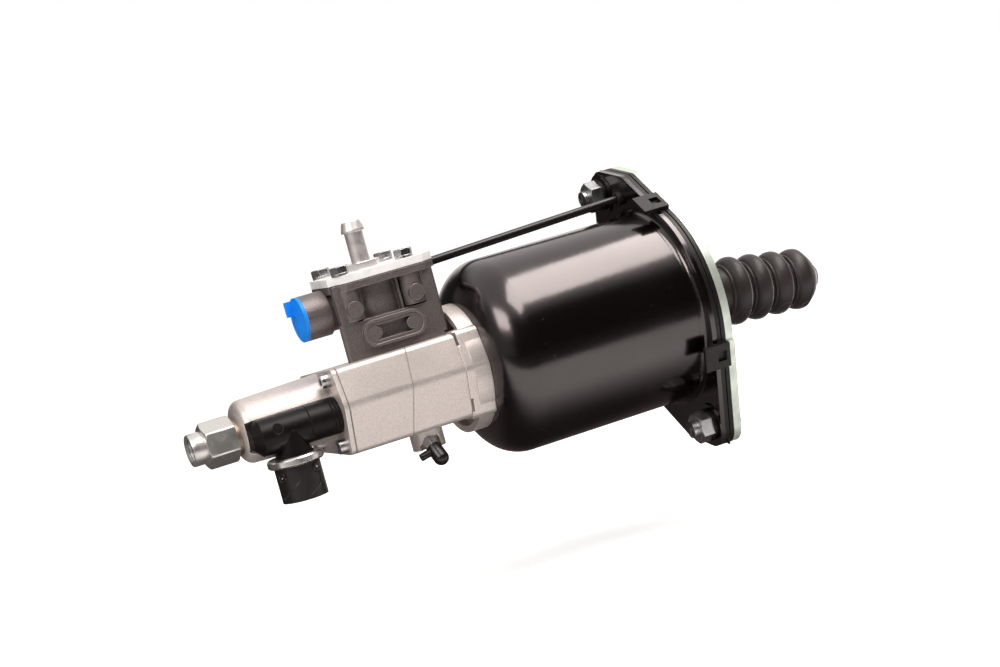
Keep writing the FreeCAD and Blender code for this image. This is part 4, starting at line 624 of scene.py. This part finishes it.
def make_spring(node, wire, turns, axis):
    """A coil spring in the space of its node."""
    low, high = (Vector(corner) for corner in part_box(node))
    middle = (low + high) / 2
    along = Vector([1.0 if index == axis else 0.0 for index in range(3)])
    side = Vector([1.0 if index == (axis + 1) % 3 else 0.0 for index in range(3)])
    over = along.cross(side)
    foot = middle - along * (middle[axis] - low[axis] - wire)
    radius = (high - low)[(axis + 1) % 3] / 2 - wire
    length = (high - low)[axis] - wire * 2
    steps = round(turns * STEPS_PER_TURN)
    mesh = bmesh.new()
    rings = []
    for step in range(steps + 1):
        angle = 2 * math.pi * turns * step / steps
        outward = side * math.cos(angle) + over * math.sin(angle)
        heart = foot + along * length * step / steps + outward * radius
        rings.append(ring(mesh, heart, outward, along, wire, WIRE_CORNERS))
    bridge(mesh, rings)
    for end in (rings[0], rings[-1]):
        mesh.faces.new(end)
    coil = make_piece(node + "_coil", mesh)
    finish_piece(coil, "spring_steel", body=None)
    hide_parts(node)
    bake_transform(coil)


# Floor, world and lamps

FLOOR_HEIGHT, FLOOR_SIZE = -0.135, 30.0
FLOOR_PALE, FLOOR_REFLECTED_SHADE, FLOOR_GLOW = (0.84, 0.84, 0.84), (0.06, 0.05, 0.05), 0.55
WHITE, BLACK, WARM_WHITE = (1.0, 1.0, 1.0), (0.0, 0.0, 0.0), (1.0, 0.965, 0.94)
LAMP_COLOUR = (1.0, 0.95, 0.905)
WALL_LIGHT, ROOM_DARKNESS = 0.88, 0.85


def make_floor():
    """A plain pale floor, painted dark to glossy rays outside a band in front and a corner behind, as
    painted shade in reflections.
    """
    bpy.ops.mesh.primitive_plane_add(size=FLOOR_SIZE, location=(0.0, 0.0, FLOOR_HEIGHT))
    floor = bpy.context.object
    floor.name = "floor"
    pale = Finish("pale_floor", Roughness=0.95, Specular_IOR_Level=0.1, Emission_Strength=FLOOR_GLOW)
    x, y = pale.axes("XY")
    band = y.near(-0.26, 0.27).between(0.0, 0.65)
    corner = y.between(0.2, 0.5) * x.between(0.0, 0.25)
    # painted shade: glossy rays see the floor dark outside the band and the corner
    unlit = pale.ray("Is Glossy Ray") * (1.0 - band.highest(corner))
    pale.feed(Base_Color=pale.mix(unlit, FLOOR_PALE, FLOOR_REFLECTED_SHADE),
              Emission_Color=pale.mix(pale.ray("Is Camera Ray"), BLACK, WHITE))
    floor.data.materials.append(pale.material)


def make_world():
    """White to the camera; a room that is dark in front, and lit overhead and at the back right."""
    world = bpy.data.worlds.new("studio")
    bpy.context.scene.world = world
    world.use_nodes = True
    studio = Nodes(world.node_tree)
    x, y, z = studio.axes(output="Generated")
    backdrop = y.between(0.0, 0.3) * x.between(-0.15, 0.2)
    overhead = z.between(0.55, 0.8)
    left_wall = (0.0 - x).between(0.55, 0.9) * 0.3
    dark_room = (1.0 - backdrop) * (1.0 - overhead) * (1.0 - left_wall)
    seen = studio.ray("Is Camera Ray")
    sky = studio.nodes["Background"]
    studio.set(sky, "Color", studio.mix(seen, WARM_WHITE, WHITE))
    studio.set(sky, "Strength", seen.highest(WALL_LIGHT - dark_room * ROOM_DARKNESS))


def soft_lamp(name, spot, aim, size, power):
    data = bpy.data.lights.new(name, "AREA")
    data.shape = "RECTANGLE"
    data.size, data.size_y = size
    data.energy = power
    data.color = LAMP_COLOUR
    lamp = bpy.data.objects.new(name, data)
    bpy.context.collection.objects.link(lamp)
    lamp.location = spot
    lamp.rotation_euler = (Vector(aim) - Vector(spot)).to_track_quat("-Z", "Y").to_euler()


place_camera()
make_floor()
make_world()
soft_lamp("long_softbox", (0.30, -0.34, 1.02), (-0.04, 0.0, 0.02), (1.30, 0.56), 15.5)
soft_lamp("left_fill", (-1.05, -0.62, 0.80), (-0.12, 0.0, 0.0), (0.7, 0.5), 9.0)
make_bellows()
make_union()
make_socket_pits()
make_spring("preload_spring", wire=0.0020, turns=7, axis=0)
make_spring("control_spring", wire=0.0009, turns=3, axis=2)
make_spring("poppet_spring", wire=0.0009, turns=3, axis=2)
bpy.context.scene.view_settings.view_transform = "Standard"
